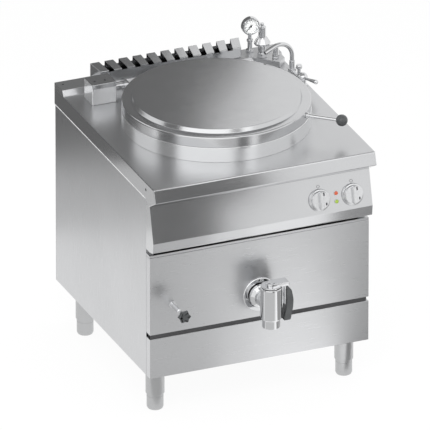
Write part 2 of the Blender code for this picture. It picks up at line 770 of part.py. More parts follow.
def top_outline(thickness):
    """The worktop's side view, or the same view moved in by a sheet thickness for its hollow."""
    nose_top = (-NOSE_REACH, TOP_HEIGHT)
    nose_low = (-NOSE_REACH - NOSE_RAKE, TOP_HEIGHT - NOSE_FACE)
    if thickness == 0.0:
        points = [
            nose_low,
            nose_top,
            (LEDGE_FRONT_Y - LEDGE_SLOPE, TOP_HEIGHT),
            (LEDGE_FRONT_Y, LEDGE_TOP),
            (DEPTH, LEDGE_TOP),
            (DEPTH, SKIRT_LOW),
            (NOSE_CHEEK, SKIRT_LOW),
            (0.0, CONTROL_HIGH + GAP),
        ]
        radii = {0: TOP_FOLD_ROUND, 1: NOSE_ROUND, 2: LEDGE_ROUND, 3: LEDGE_ROUND / 2,
                 4: TOP_FOLD_ROUND}
        return rounded(points, radii)
    t = thickness
    below = SKIRT_LOW - 0.06
    points = [
        (nose_low[0] + t * 1.6, nose_low[1] + t * 0.4),
        (nose_top[0] + t, TOP_HEIGHT - t),
        (LEDGE_FRONT_Y - LEDGE_SLOPE + t / 2, TOP_HEIGHT - t),
        (LEDGE_FRONT_Y + t / 2, LEDGE_TOP - t),
        (DEPTH - t, LEDGE_TOP - t),
        (DEPTH - t, below),
        (t, below),
        (t, CONTROL_HIGH + GAP + t * 0.9),
    ]
    return rounded(points, {1: NOSE_ROUND - t, 2: LEDGE_ROUND + t, 3: LEDGE_ROUND / 2})


def worktop():
    """The folded worktop: nose, side skirts, raised rear ledge, and the holes through it."""
    top = prism("worktop", top_outline(0.0), "x", -HALF_TOP, HALF_TOP, STEEL)
    round_edges(top, TOP_EDGE_ROUND, 2, 60)
    hollow = prism("worktop_inside", top_outline(TOP_SHEET), "x",
                   -HALF_TOP + TOP_SHEET, HALF_TOP - TOP_SHEET)
    mouth = rod("worktop_mouth", (0, KETTLE_Y, TOP_HEIGHT - 0.01), (0, KETTLE_Y, TOP_HEIGHT + 0.01),
                BOWL_OUTER + 0.008, sides=64)
    margin = COMB_SHEET + 0.006
    vent = box(
        "worktop_flue_slot",
        (-COMB_FRONT_WIDTH / 2 + margin, DEPTH - COMB_DEPTH + margin, LEDGE_TOP - 0.01),
        (COMB_FRONT_WIDTH / 2 - margin, DEPTH - margin, LEDGE_TOP + 0.01),
    )
    pipe = rod("worktop_steam_hole", (*STEAM_PIPE_XY, TOP_HEIGHT - 0.01),
               (*STEAM_PIPE_XY, TOP_HEIGHT + 0.01), STEAM_PIPE_RADIUS + GAP)
    holes = [mouth, vent, pipe]
    for side in (-1, 1):
        y = SKIRT_HOLE_BACK
        z = TOP_HEIGHT - SKIRT_HOLE_DROP
        holes.append(rod("skirt_hole_%s" % ("left" if side < 0 else "right"),
                         (side * (HALF_TOP - 0.01), y, z), (side * (HALF_TOP + 0.01), y, z),
                         KEYHOLE_RADIUS, sides=16))
        x = side * (HALF_TOP - LEDGE_HOLE_INSET)
        y = DEPTH - LEDGE_HOLE_REAR
        holes.append(rod("ledge_hole_%s" % ("left" if side < 0 else "right"),
                         (x, y, LEDGE_TOP - 0.01), (x, y, LEDGE_TOP + 0.01),
                         KEYHOLE_RADIUS * 0.7, sides=16))
    cut(top, hollow, *holes)


def rear_and_base():
    """Flat rear panel, and the base tray that the legs are fixed to."""
    box("rear_panel", (-HALF_BODY, DEPTH - SHEET, 0.0), (HALF_BODY, DEPTH, SKIRT_LOW - GAP), STEEL)
    side = HALF_BODY - SHEET - GAP
    front = PAN_DEPTH + GAP + SHEET + GAP
    back = SIDE_REAR - SHEET - GAP
    pan("base_tray", (-side, front, 0.0), (side, back, TRAY_HEIGHT), "z", STEEL)


def leg(name, x, y):
    """A fixed sleeve under the tray and the foot that screws up and down in it."""
    sleeve_top = -GAP
    low = -LEG_SLEEVE_LENGTH
    radius = LEG_SLEEVE_RADIUS
    bore = radius - LEG_SLEEVE_WALL
    turned(
        "leg_sleeve_" + name,
        [
            (0.0, sleeve_top),
            (radius, sleeve_top),
            (radius, low + 0.001),
            (radius - 0.001, low),
            (bore, low),
            (bore, sleeve_top - LEG_TOP_PLATE),
            (0.0, sleeve_top - LEG_TOP_PLATE),
        ],
        STEEL, 24, (x, y, 0.0), closed=False)
    foot_radius = bore - GAP
    foot = turned(
        "foot_" + name,
        [
            (0.0, low + LEG_FOOT_ENGAGED),
            (foot_radius, low + LEG_FOOT_ENGAGED),
            (foot_radius, -LEG_FOOT_HEIGHT + LEG_FOOT_CHAMFER),
            (foot_radius - LEG_FOOT_CHAMFER * 0.3, -LEG_FOOT_HEIGHT + LEG_FOOT_CHAMFER * 0.3),
            (foot_radius - LEG_FOOT_CHAMFER, -LEG_FOOT_HEIGHT),
            (0.0, -LEG_FOOT_HEIGHT),
        ],
        STEEL, 24, (x, y, 0.0), closed=False)
    carry("foot_axis_" + name, (x, y, low), foot)


def collar():
    """The ring that stands on the worktop round the mouth of the vessel."""
    outer = COLLAR_RADIUS
    inner = BOWL_RADIUS
    profile = [(inner, COLLAR_TOP), (outer - COLLAR_ROUND, COLLAR_TOP)]
    profile += arc((outer - COLLAR_ROUND, COLLAR_TOP - COLLAR_ROUND), COLLAR_ROUND, 60, 0, 2)
    profile += [
        (outer, TOP_HEIGHT + GAP),
        (outer - COLLAR_WALL, TOP_HEIGHT + GAP),
        (outer - COLLAR_WALL, COLLAR_TOP - COLLAR_WALL),
        (inner, COLLAR_TOP - COLLAR_WALL),
    ]
    turned("kettle_collar", profile, MIRROR_STEEL, LID_STEPS, (0, KETTLE_Y, 0))


def vessel():
    """The cooking vessel: straight wall, rounded foot, floor that falls to the outlet."""
    outer = BOWL_OUTER
    inner = BOWL_RADIUS
    foot = BOWL_BOTTOM + BOWL_FALL
    profile = [(outer, BOWL_TOP)]
    profile += arc((outer - BOWL_CORNER, foot + BOWL_CORNER - VESSEL_WALL), BOWL_CORNER, 0, -90, 4)
    profile += [
        (OUTLET_RADIUS + VESSEL_WALL, BOWL_BOTTOM - VESSEL_WALL),
        (OUTLET_RADIUS + VESSEL_WALL, JACKET_BOTTOM - VESSEL_WALL - 0.006),
        (OUTLET_RADIUS, JACKET_BOTTOM - VESSEL_WALL - 0.006),
        (OUTLET_RADIUS, BOWL_BOTTOM),
    ]
    corner = BOWL_CORNER - VESSEL_WALL
    profile += arc((inner - corner, foot + corner), corner, -90, 0, 4)
    profile += [(inner, BOWL_TOP)]
    turned("kettle_vessel", profile, MIRROR_STEEL, BOWL_STEPS, (0, KETTLE_Y, 0))


def jacket():
    """The steam jacket round the vessel, with its closing flange under the worktop."""
    outer = JACKET_RADIUS
    wall = VESSEL_WALL
    low = JACKET_BOTTOM - wall
    neck = OUTLET_RADIUS + wall + GAP
    lip = BOWL_OUTER + GAP
    profile = [(outer, JACKET_TOP)]
    profile += arc((outer - JACKET_CORNER, low + JACKET_CORNER), JACKET_CORNER, 0, -90, 3)
    profile += [(neck, low), (neck, low + wall)]
    corner = JACKET_CORNER - wall
    profile += arc((outer - JACKET_CORNER, low + JACKET_CORNER), corner, -90, 0, 3)
    profile += [(outer - wall, JACKET_TOP - wall), (lip, JACKET_TOP - wall), (lip, JACKET_TOP)]
    shell = turned("steam_jacket", profile, STEEL, BOWL_STEPS, (0, KETTLE_Y, 0))
    holes = []
    for side in (-1, 1):
        x, y = element_leg(side)
        holes.append(rod("jacket_element_hole_%d" % (side + 2), (x, y, low - 0.01),
                         (x, y, low + 0.02), ELEMENT_TUBE_RADIUS + GAP, sides=16))
    take_off = steam_take_off()
    out = (take_off - Vector((0, KETTLE_Y, take_off.z))).normalized()
    holes.append(rod("jacket_steam_hole", take_off - out * 0.02, take_off + out * 0.02,
                     STEAM_PIPE_RADIUS + GAP, sides=20))
    cut(shell, *holes)


def element_leg(side):
    """Where a leg of the heating element passes through the jacket floor."""
    heading = Vector((math.cos(ELEMENT_HEADING), math.sin(ELEMENT_HEADING)))
    across = Vector((-heading.y, heading.x))
    spot = heading * ELEMENT_RING_RADIUS + across * side * ELEMENT_LEG_SPREAD / 2
    return spot.x, KETTLE_Y + spot.y


def heating_element():
    """One immersion element: a ring in the jacket water, two legs and a flange below the jacket."""
    ring_z = (BOWL_BOTTOM - VESSEL_WALL + JACKET_BOTTOM) / 2
    flange_top = JACKET_BOTTOM - VESSEL_WALL - GAP
    half = math.asin(ELEMENT_LEG_SPREAD / 2 / ELEMENT_RING_RADIUS)
    points = [Vector((*element_leg(1), flange_top - ELEMENT_FLANGE_HEIGHT / 2))]
    points.append(Vector((*element_leg(1), ring_z - 0.012)))
    count = 22
    first = ELEMENT_HEADING + half * 1.6
    last = ELEMENT_HEADING + math.tau - half * 1.6
    for step in range(count + 1):
        angle = first + (last - first) * step / count
        points.append(Vector((ELEMENT_RING_RADIUS * math.cos(angle),
                              KETTLE_Y + ELEMENT_RING_RADIUS * math.sin(angle), ring_z)))
    points.append(Vector((*element_leg(-1), ring_z - 0.012)))
    points.append(Vector((*element_leg(-1), flange_top - ELEMENT_FLANGE_HEIGHT / 2)))
    element = swept("heating_element", points, ELEMENT_TUBE_RADIUS, DARK_STEEL, 1)
    x = ELEMENT_RING_RADIUS * math.cos(ELEMENT_HEADING)
    y = KETTLE_Y + ELEMENT_RING_RADIUS * math.sin(ELEMENT_HEADING)
    flange = rod("element_flange", (x, y, flange_top - ELEMENT_FLANGE_HEIGHT), (x, y, flange_top),
                 ELEMENT_FLANGE_RADIUS)
    join(element, flange)


def hollow_pipe(name, points, radius, wall, finish, sides=3):
    """A pipe along a line of points, open at both ends."""
    pipe = swept(name, points, radius, finish, sides)
    first = points[0] + (points[0] - points[1]).normalized() * 0.002
    last = points[-1] + (points[-1] - points[-2]).normalized() * 0.002
    bore = swept(name + "_bore", [first, *points[1:-1], last], radius - wall, None, sides)
    return cut(pipe, bore)


def steam_take_off():
    """The point on the jacket wall where the steam pipe starts, below its place on the worktop."""
    place_xy = Vector((STEAM_PIPE_XY[0], STEAM_PIPE_XY[1] - KETTLE_Y))
    edge = place_xy.normalized() * (JACKET_RADIUS - VESSEL_WALL / 2)
    return Vector((edge.x, KETTLE_Y + edge.y, JACKET_TOP - STEAM_TAKE_OFF_DROP))


def inner_pipes():
    """Drain pipe from the vessel outlet to the tap, and steam pipe up to the valve platform."""
    low = JACKET_BOTTOM - VESSEL_WALL - 0.006 - GAP
    top = Vector((0, KETTLE_Y, low))
    corner = Vector((0, KETTLE_Y, DRAIN_Z))
    front = Vector((0, -ESCUTCHEON_DEPTH, DRAIN_Z))
    points = [top, *bend(top, corner, front, (low - DRAIN_Z) * 0.95, 6), front]
    hollow_pipe("drain_pipe", points, DRAIN_PIPE_RADIUS, DRAIN_PIPE_WALL, STEEL)
    start = steam_take_off()
    corner = Vector((*STEAM_PIPE_XY, start.z))
    end = Vector((*STEAM_PIPE_XY, PLATFORM_TOP - PLATFORM_WALL - GAP))
    points = [start, *bend(start, corner, end, 0.022, 4), end]
    hollow_pipe("steam_pipe", points, STEAM_PIPE_RADIUS, STEAM_PIPE_WALL, STEEL, 2)


def lid():
    """The lid: skirt with a rounded shoulder, flat rim, steep step and raised disc."""
    t = LID_SHEET
    crown = LID_RIM_Z + LID_DISC_RISE
    profile = [(0.0, crown), (LID_DISC_RADIUS - 0.002, crown), (LID_DISC_RADIUS, crown - 0.001)]
    profile += [(LID_STEP_RADIUS - 0.0015, LID_RIM_Z + 0.0025),
                (LID_STEP_RADIUS + 0.001, LID_RIM_Z)]
    profile += arc((LID_RADIUS - LID_ROUND, LID_RIM_Z - LID_ROUND), LID_ROUND, 90, 0, 3)
    profile += [
        (LID_RADIUS, SEAM_Z),
        (LID_RADIUS - t, SEAM_Z),
        (LID_RADIUS - t, LID_RIM_Z - LID_ROUND),
        (LID_RADIUS - LID_ROUND, LID_RIM_Z - t),
        (LID_STEP_RADIUS - t, LID_RIM_Z - t),
        (LID_DISC_RADIUS - t, crown - t),
        (0.0, crown - t),
    ]
    cover = turned("lid", profile, MIRROR_STEEL, LID_STEPS, (0, KETTLE_Y, 0), closed=False)
    outer = LID_RADIUS - t - GAP
    seal = turned(
        "lid_seal",
        [
            (outer - SEAL_WIDTH, SEAM_Z + SEAL_HEIGHT),
            (outer, SEAM_Z + SEAL_HEIGHT),
            (outer, SEAM_Z),
            (outer - SEAL_WIDTH, SEAM_Z),
        ],
        RUBBER, LID_STEPS, (0, KETTLE_Y, 0))
    return cover, seal


def lid_handle():
    """A plain rod out of the skirt with a ball on its end."""
    out = Vector((math.cos(HANDLE_ANGLE), math.sin(HANDLE_ANGLE), 0))
    centre = Vector((0, KETTLE_Y, TOP_HEIGHT + HANDLE_RISE))
    root = centre + out * (LID_RADIUS + GAP)
    ball_centre = centre + out * HANDLE_REACH
    tip = ball_centre - out * (HANDLE_BALL_RADIUS * 0.4)
    handle = rod("lid_handle_rod", root, tip, HANDLE_ROD_RADIUS, MIRROR_STEEL, sides=16)
    boss = rod("lid_handle_boss", root, root + out * 0.008, HANDLE_ROD_RADIUS * 1.7, sides=16)
    join(handle, boss)
    bm = bmesh.new()
    bmesh.ops.create_uvsphere(bm, u_segments=18, v_segments=10, radius=HANDLE_BALL_RADIUS,
                              matrix=Matrix.Translation(ball_centre))
    ball = from_bmesh(bm, "lid_handle_ball", BLACK_PLASTIC)
    smooth(ball)
    socket = rod("ball_socket", root, tip + out * GAP, HANDLE_ROD_RADIUS + GAP, sides=16)
    cut(ball, socket)
    return handle, ball


def lid_arm(name, side):
    """A flat arm from the skirt of the lid to the hinge axis, round at the hinge end."""
    low = TOP_HEIGHT + ARM_LOW
    high = TOP_HEIGHT + ARM_HIGH
    reach = ARM_X + ARM_THICKNESS
    skirt_y = KETTLE_Y + math.sqrt(LID_RADIUS ** 2 - reach ** 2)
    clear_y = KETTLE_Y + math.sqrt((COLLAR_RADIUS + 0.001) ** 2 - (ARM_X - ARM_THICKNESS) ** 2)
    outline = [(skirt_y - 0.01, high), (skirt_y - 0.01, low), (clear_y, low)]
    outline += arc((HINGE_Y, HINGE_Z), ARM_END_RADIUS, -110, 80, 12)
    outline.append((HINGE_Y - ARM_END_RADIUS, high))
    start = side * ARM_X - ARM_THICKNESS / 2
    arm = prism(name, outline, "x", start, start + ARM_THICKNESS, MIRROR_STEEL)
    lid_cut = rod(name + "_lid_cut", (0, KETTLE_Y, low - 0.02), (0, KETTLE_Y, high + 0.02),
                  LID_RADIUS + GAP, sides=LID_STEPS * 2)
    pin_cut = rod(name + "_pin_cut", (start - 0.01, HINGE_Y, HINGE_Z),
                  (start + ARM_THICKNESS + 0.01, HINGE_Y, HINGE_Z), AXLE_RADIUS + GAP)
    return cut(arm, lid_cut, pin_cut)


def hinge():
    """Tower with its cover, bushes, spring and axle on the left, bracket and pin on the right."""
    low = (TOWER_LOW_X, TOWER_FRONT_Y, TOP_HEIGHT + GAP)
    high = (TOWER_HIGH_X, TOWER_FRONT_Y + TOWER_DEPTH, TOWER_TOP)
    tower = round_edges(box("hinge_tower", low, high, MIRROR_STEEL), 0.0015)
    hollow = box("tower_inside", (low[0] + SHEET, low[1] + SHEET, low[2] - SHEET),
                 (high[0] - SHEET, high[1] - SHEET, high[2] - SHEET))
    bush_hole = rod("tower_bush_hole", ((low[0] + high[0]) / 2, HINGE_Y, HINGE_Z),
                    (high[0] + 0.01, HINGE_Y, HINGE_Z), AXLE_RADIUS + BUSH_WALL + GAP)
    cut(tower, hollow, bush_hole)
    cover = box("tower_cover", (low[0], low[1] - SHEET - GAP, TOWER_TOP + GAP),
                (high[0], high[1], TOWER_TOP + GAP + TOWER_COVER), MIRROR_STEEL)
    lip = box("tower_cover_lip", (low[0], low[1] - SHEET - GAP, TOWER_TOP - TOWER_LIP),
              (high[0], low[1] - GAP, TOWER_TOP + GAP + TOWER_COVER / 2))
    join(cover, lip)
    for index, share in enumerate(SCREW_SHARES):
        x = low[0] + TOWER_WIDTH * share
        y = low[1] + TOWER_DEPTH * 0.36
        top = TOWER_TOP + GAP + TOWER_COVER
        screw = rod("cover_screw_%d" % index, (x, y, top - TOWER_COVER / 2),
                    (x, y, top + SCREW_HEAD), SCREW_RADIUS, sides=12)
        join(cover, screw)
    bush_outer = AXLE_RADIUS + BUSH_WALL
    bore = AXLE_RADIUS + GAP
    turned(
        "bush_inner",
        [(bush_outer, BUSH_LENGTH), (bush_outer, 0.0), (bore, 0.0), (bore, BUSH_LENGTH)],
        BRONZE, 24, (low[0] + SHEET + GAP, HINGE_Y, HINGE_Z), (1, 0, 0))
    arm_outer = -ARM_X - ARM_THICKNESS / 2
    stub = arm_outer - GAP - high[0]
    turned(
        "bush_outer",
        [
            (bush_outer + BUSH_STEP, BUSH_STEP + GAP),
            (bush_outer + BUSH_STEP, GAP),
            (bush_outer, GAP),
            (bush_outer, -BUSH_LENGTH),
            (bore, -BUSH_LENGTH),
            (bore, stub),
            (bush_outer, stub),
            (bush_outer, BUSH_STEP + GAP),
        ],
        BRONZE, 28, (high[0], HINGE_Y, HINGE_Z), (1, 0, 0))
    balance_spring(low[0] + SHEET + BUSH_LENGTH + 0.004, high[0] - BUSH_LENGTH - 0.004)
    axle = rod("hinge_axle", (low[0] + SHEET + 2 * GAP, HINGE_Y, HINGE_Z),
               (arm_outer + ARM_THICKNESS + 0.002, HINGE_Y, HINGE_Z), AXLE_RADIUS, STEEL)
    inner_face = ARM_X - ARM_THICKNESS / 2
    bracket_x = inner_face - BRACKET_GAP - BRACKET_THICKNESS
    pin = rod("hinge_pin", (bracket_x - 0.003, HINGE_Y, HINGE_Z),
              (ARM_X + ARM_THICKNESS / 2 + 0.003, HINGE_Y, HINGE_Z), AXLE_RADIUS, STEEL)
    lug_outline = [(HINGE_Y + BRACKET_WIDTH / 2, TOP_HEIGHT + GAP)]
    lug_outline += arc((HINGE_Y, HINGE_Z), BRACKET_END_RADIUS, 0, 180, 12)
    lug_outline += [(HINGE_Y - BRACKET_WIDTH / 2, TOP_HEIGHT + GAP)]
    lug = prism("hinge_bracket", lug_outline, "x", bracket_x, bracket_x + BRACKET_THICKNESS,
                MIRROR_STEEL)
    foot = box("bracket_foot",
               (bracket_x - BRACKET_FOOT, HINGE_Y - BRACKET_WIDTH / 2, TOP_HEIGHT + GAP),
               (bracket_x + BRACKET_THICKNESS / 2, HINGE_Y + BRACKET_WIDTH / 2,
                TOP_HEIGHT + GAP + BRACKET_THICKNESS))
    pin_hole = rod("bracket_pin_hole", (bracket_x - 0.01, HINGE_Y, HINGE_Z),
                   (bracket_x + 0.015, HINGE_Y, HINGE_Z), AXLE_RADIUS + GAP)
    join(lug, foot)
    cut(lug, pin_hole)
    return axle, pin


def balance_spring(start_x, end_x):
    """The coil spring round the axle that takes the weight of the lid."""
    points = []
    around = 10
    radius = (AXLE_RADIUS + GAP + SPRING_WIRE) / math.cos(math.pi / around)
    count = SPRING_TURNS * around
    for step in range(count + 1):
        angle = math.tau * step / around
        x = start_x + SPRING_WIRE + (end_x - start_x - 2 * SPRING_WIRE) * step / count
        points.append(Vector((x, HINGE_Y + radius * math.cos(angle),
                              HINGE_Z + radius * math.sin(angle))))
    swept("balance_spring", points, SPRING_WIRE, DARK_STEEL, 1)


def hull(name, points, finish=None):
    """The flat-sided solid whose corners are the given points."""
    bm = bmesh.new()
    for point in points:
        bm.verts.new(point)
    bmesh.ops.convex_hull(bm, input=list(bm.verts))
    bmesh.ops.dissolve_limit(bm, angle_limit=0.001, verts=list(bm.verts), edges=list(bm.edges))
    return from_bmesh(bm, name, finish)


def flue_comb():
    """A sheet hood on the ledge, higher at the back, with slots that fan out across its top."""
    rear_y = DEPTH - COMB_SHEET
    front_y = rear_y - COMB_DEPTH
    low = LEDGE_TOP + GAP
    high = low + COMB_HEIGHT
    outside, inside = [], []
    t = COMB_SHEET
    for y, width, top, inward in ((rear_y, COMB_REAR_WIDTH, high, -t),
                                  (front_y, COMB_FRONT_WIDTH, high - COMB_SLOPE, t)):
        for half in (-width / 2, width / 2):
            outside += [(half, y, low), (half, y, top)]
            inner = half - math.copysign(t, half)
            inside += [(inner, y + inward, low - t), (inner, y + inward, top - t)]
    hood = round_edges(hull("flue_comb", outside, MIRROR_STEEL), COMB_ROUND)
    cut(hood, hull("comb_inside", inside))
    for index in range(COMB_TEETH - 1):
        cut(hood, comb_slot(index, front_y, rear_y, high))


def slot_edges(index, width):
    """Where a slot starts and ends across the comb, on an edge of the given width."""
    usable = width - 2 * COMB_END_MARGIN
    pitch = usable / (COMB_TEETH - COMB_SLOT_SHARE)
    right = -usable / 2 + pitch * (index + 1)
    return right - pitch * COMB_SLOT_SHARE, right


def comb_slot(index, front_y, rear_y, high):
    """One slot, through the top and part of the way down the front and the back."""
    beyond = 0.004
    share = beyond / COMB_DEPTH
    points = []
    for rear, front in zip(slot_edges(index, COMB_REAR_WIDTH), slot_edges(index, COMB_FRONT_WIDTH)):
        drift = (rear - front) * share
        for z in (high - COMB_REAR_NOTCH, high + 0.01):
            points.append((rear + drift, rear_y + beyond, z))
        for z in (high - COMB_SLOPE - COMB_FRONT_NOTCH, high + 0.01):
            points.append((front - drift, front_y - beyond, z))
    return hull("comb_slot_%d" % index, points)


def valve_platform():
    """The low box at the rear right corner that the valves stand on, with a diagonal front."""
    near = Vector(PLATFORM_NEAR)
    outer = near + Vector((PLATFORM_SIDE_LIMIT - near.x, PLATFORM_SIDE_LIMIT - near.x))
    back = LEDGE_FRONT_Y + 0.002
    outline = [tuple(near), tuple(outer), (outer.x, back), (near.x - (back - near.y), back)]
    low = TOP_HEIGHT + GAP
    platform = prism("valve_platform", outline, "z", low, PLATFORM_TOP, MIRROR_STEEL)
    round_edges(platform, 0.001)
    wall = PLATFORM_WALL
    inset = wall * math.sqrt(2)
    inner_back = LEDGE_FRONT_Y - LEDGE_SLOPE - PLATFORM_BACK_GAP - wall
    inner_outline = [
        (near.x, near.y + inset),
        (outer.x - wall, near.y + inset + outer.x - wall - near.x),
        (outer.x - wall, inner_back),
        (near.x - (inner_back - near.y - inset), inner_back),
    ]
    hollow = prism("platform_inside", inner_outline, "z", low - 0.005, PLATFORM_TOP - wall)
    wall_line = [
        (LEDGE_FRONT_Y - LEDGE_SLOPE - PLATFORM_BACK_GAP, TOP_HEIGHT),
        (LEDGE_FRONT_Y - PLATFORM_BACK_GAP / 2, LEDGE_TOP + 0.0001),
        (LEDGE_FRONT_Y - PLATFORM_BACK_GAP / 2, LEDGE_TOP + 0.01),
        (LEDGE_FRONT_Y + 0.02, LEDGE_TOP + 0.01),
        (LEDGE_FRONT_Y + 0.02, TOP_HEIGHT - 0.01),
        (LEDGE_FRONT_Y - LEDGE_SLOPE - PLATFORM_BACK_GAP, TOP_HEIGHT - 0.01),
    ]
    ledge_cut = prism("platform_ledge_cut", wall_line, "x", near.x - 0.12, HALF_TOP)
    cut(platform, hollow, ledge_cut)


def gauge():
    """A dial gauge on its stem: case, dial, needle and glass."""
    x, y = GAUGE_XY
    centre_z = TOP_HEIGHT + GAUGE_CENTRE_RISE
    case = turned(
        "gauge_case",
        [
            (0.0, 0.0),
            (GAUGE_RADIUS - GAUGE_RIM, 0.0),
            (GAUGE_RADIUS - GAUGE_RIM, GAUGE_FRONT),
            (GAUGE_RADIUS - 0.001, GAUGE_FRONT),
            (GAUGE_RADIUS, GAUGE_FRONT - 0.001),
            (GAUGE_RADIUS, -GAUGE_BACK + 0.003),
            (GAUGE_RADIUS - 0.003, -GAUGE_BACK),
            (0.0, -GAUGE_BACK - 0.001),
        ],
        CHROME, 28, (x, y - GAUGE_BACK / 2, centre_z), (0, -1, 0), closed=False)
    stem_low = LEDGE_TOP + GAP
    stem = turned(
        "gauge_stem",
        [
            (0.0, centre_z - GAUGE_RADIUS + 0.003),
            (GAUGE_STEM_RADIUS * 0.8, centre_z - GAUGE_RADIUS + 0.003),
            (GAUGE_STEM_RADIUS * 0.8, stem_low + 0.045),
            (GAUGE_STEM_RADIUS * 1.35, stem_low + 0.045),
            (GAUGE_STEM_RADIUS * 1.35, stem_low + 0.038),
            (GAUGE_STEM_RADIUS, stem_low + 0.038),
            (GAUGE_STEM_RADIUS, stem_low + 0.009),
            (GAUGE_NUT_RADIUS, stem_low + 0.007),
            (GAUGE_NUT_RADIUS, stem_low),
            (0.0, stem_low),
        ],
        None, 20, (x, y, 0.0), closed=False)
    join(case, stem)
    face_y = y - GAUGE_BACK / 2 - GAP
    inner = GAUGE_RADIUS - GAUGE_RIM - GAP
    rod("gauge_dial", (x, face_y, centre_z), (x, face_y - 0.001, centre_z), inner, WHITE_ENAMEL,
        sides=28)
    rod("gauge_glass", (x, face_y - 0.0075, centre_z), (x, face_y - 0.0095, centre_z), inner,
        CLEAR_GLASS, sides=28)
    needle_y = face_y - 0.001 - GAP
    pivot = (x, needle_y, centre_z)
    zero = math.radians(225)
    tip = Vector((math.cos(zero), 0, math.sin(zero)))
    side = Vector((-tip.z, 0, tip.x))
    reach = inner * 0.82
    bm = bmesh.new()
    for distance, half in ((-inner * 0.25, 0.0016), (0.0, 0.0022), (reach, 0.0004)):
        for sign in (-1, 1):
            for depth in (-0.0008, -0.0016):
                spot = Vector(pivot) + tip * distance + side * sign * half
                bm.verts.new((spot.x, needle_y + depth, spot.z))
    bmesh.ops.convex_hull(bm, input=list(bm.verts))
    needle = from_bmesh(bm, "gauge_needle", BLACK_PLASTIC)
    hub = rod("needle_hub", pivot, (x, needle_y - 0.0035, centre_z), 0.003, sides=16)
    join(needle, hub)
    carry("gauge_needle_axis", pivot, needle)


def valves():
    """Safety valve with its cap, and the small vent valve, both on the platform."""
    base = FITTING_Z
    cap_low = base + SAFETY_HEIGHT
    x, y = SAFETY_XY
    body = SAFETY_BODY_RADIUS
    turned(
        "safety_valve",
        [
            (0.0, cap_low + CAP_HEIGHT),
            (CAP_RADIUS * 0.7, cap_low + CAP_HEIGHT),
            (CAP_RADIUS, cap_low + CAP_HEIGHT - 0.002),
            (CAP_RADIUS, cap_low + CAP_HEIGHT * 0.45),
            (CAP_RADIUS * 0.55, cap_low + CAP_HEIGHT * 0.35),
            (CAP_RADIUS * 0.55, cap_low),
            (SAFETY_TOP_RADIUS - 0.002, base + SAFETY_HEIGHT),
            (SAFETY_TOP_RADIUS, base + SAFETY_HEIGHT - 0.002),
            (SAFETY_TOP_RADIUS, base + SAFETY_BELL_HIGH + 0.005),
            (SAFETY_TOP_RADIUS + 0.003, base + SAFETY_BELL_HIGH + 0.004),
            (SAFETY_TOP_RADIUS + 0.005, base + SAFETY_BELL_HIGH),
            (SAFETY_BELL_RADIUS, base + SAFETY_BELL_LOW + 0.004),
            (SAFETY_BELL_RADIUS - 0.002, base + SAFETY_BELL_LOW),
            (body * 0.8, base + SAFETY_BELL_LOW - 0.004),
            (body * 0.8, base + 0.018),
            (body, base + 0.016),
            (body, base),
            (0.0, base),
        ],
        CHROME, 20, (x, y, 0.0), closed=False)
    x, y = VENT_XY
    turned(
        "vent_valve",
        [
            (0.0, base + VENT_HEIGHT),
            (VENT_RADIUS * 0.6, base + VENT_HEIGHT),
            (VENT_RADIUS * 0.6, base + VENT_HEIGHT - 0.006),
            (VENT_RADIUS, base + VENT_HEIGHT - 0.008),
            (VENT_RADIUS, base + 0.014),
            (VENT_RADIUS * 1.25, base + 0.013),
            (VENT_RADIUS * 1.25, base),
            (0.0, base),
        ],
        CHROME, 20, (x, y, 0.0), closed=False)


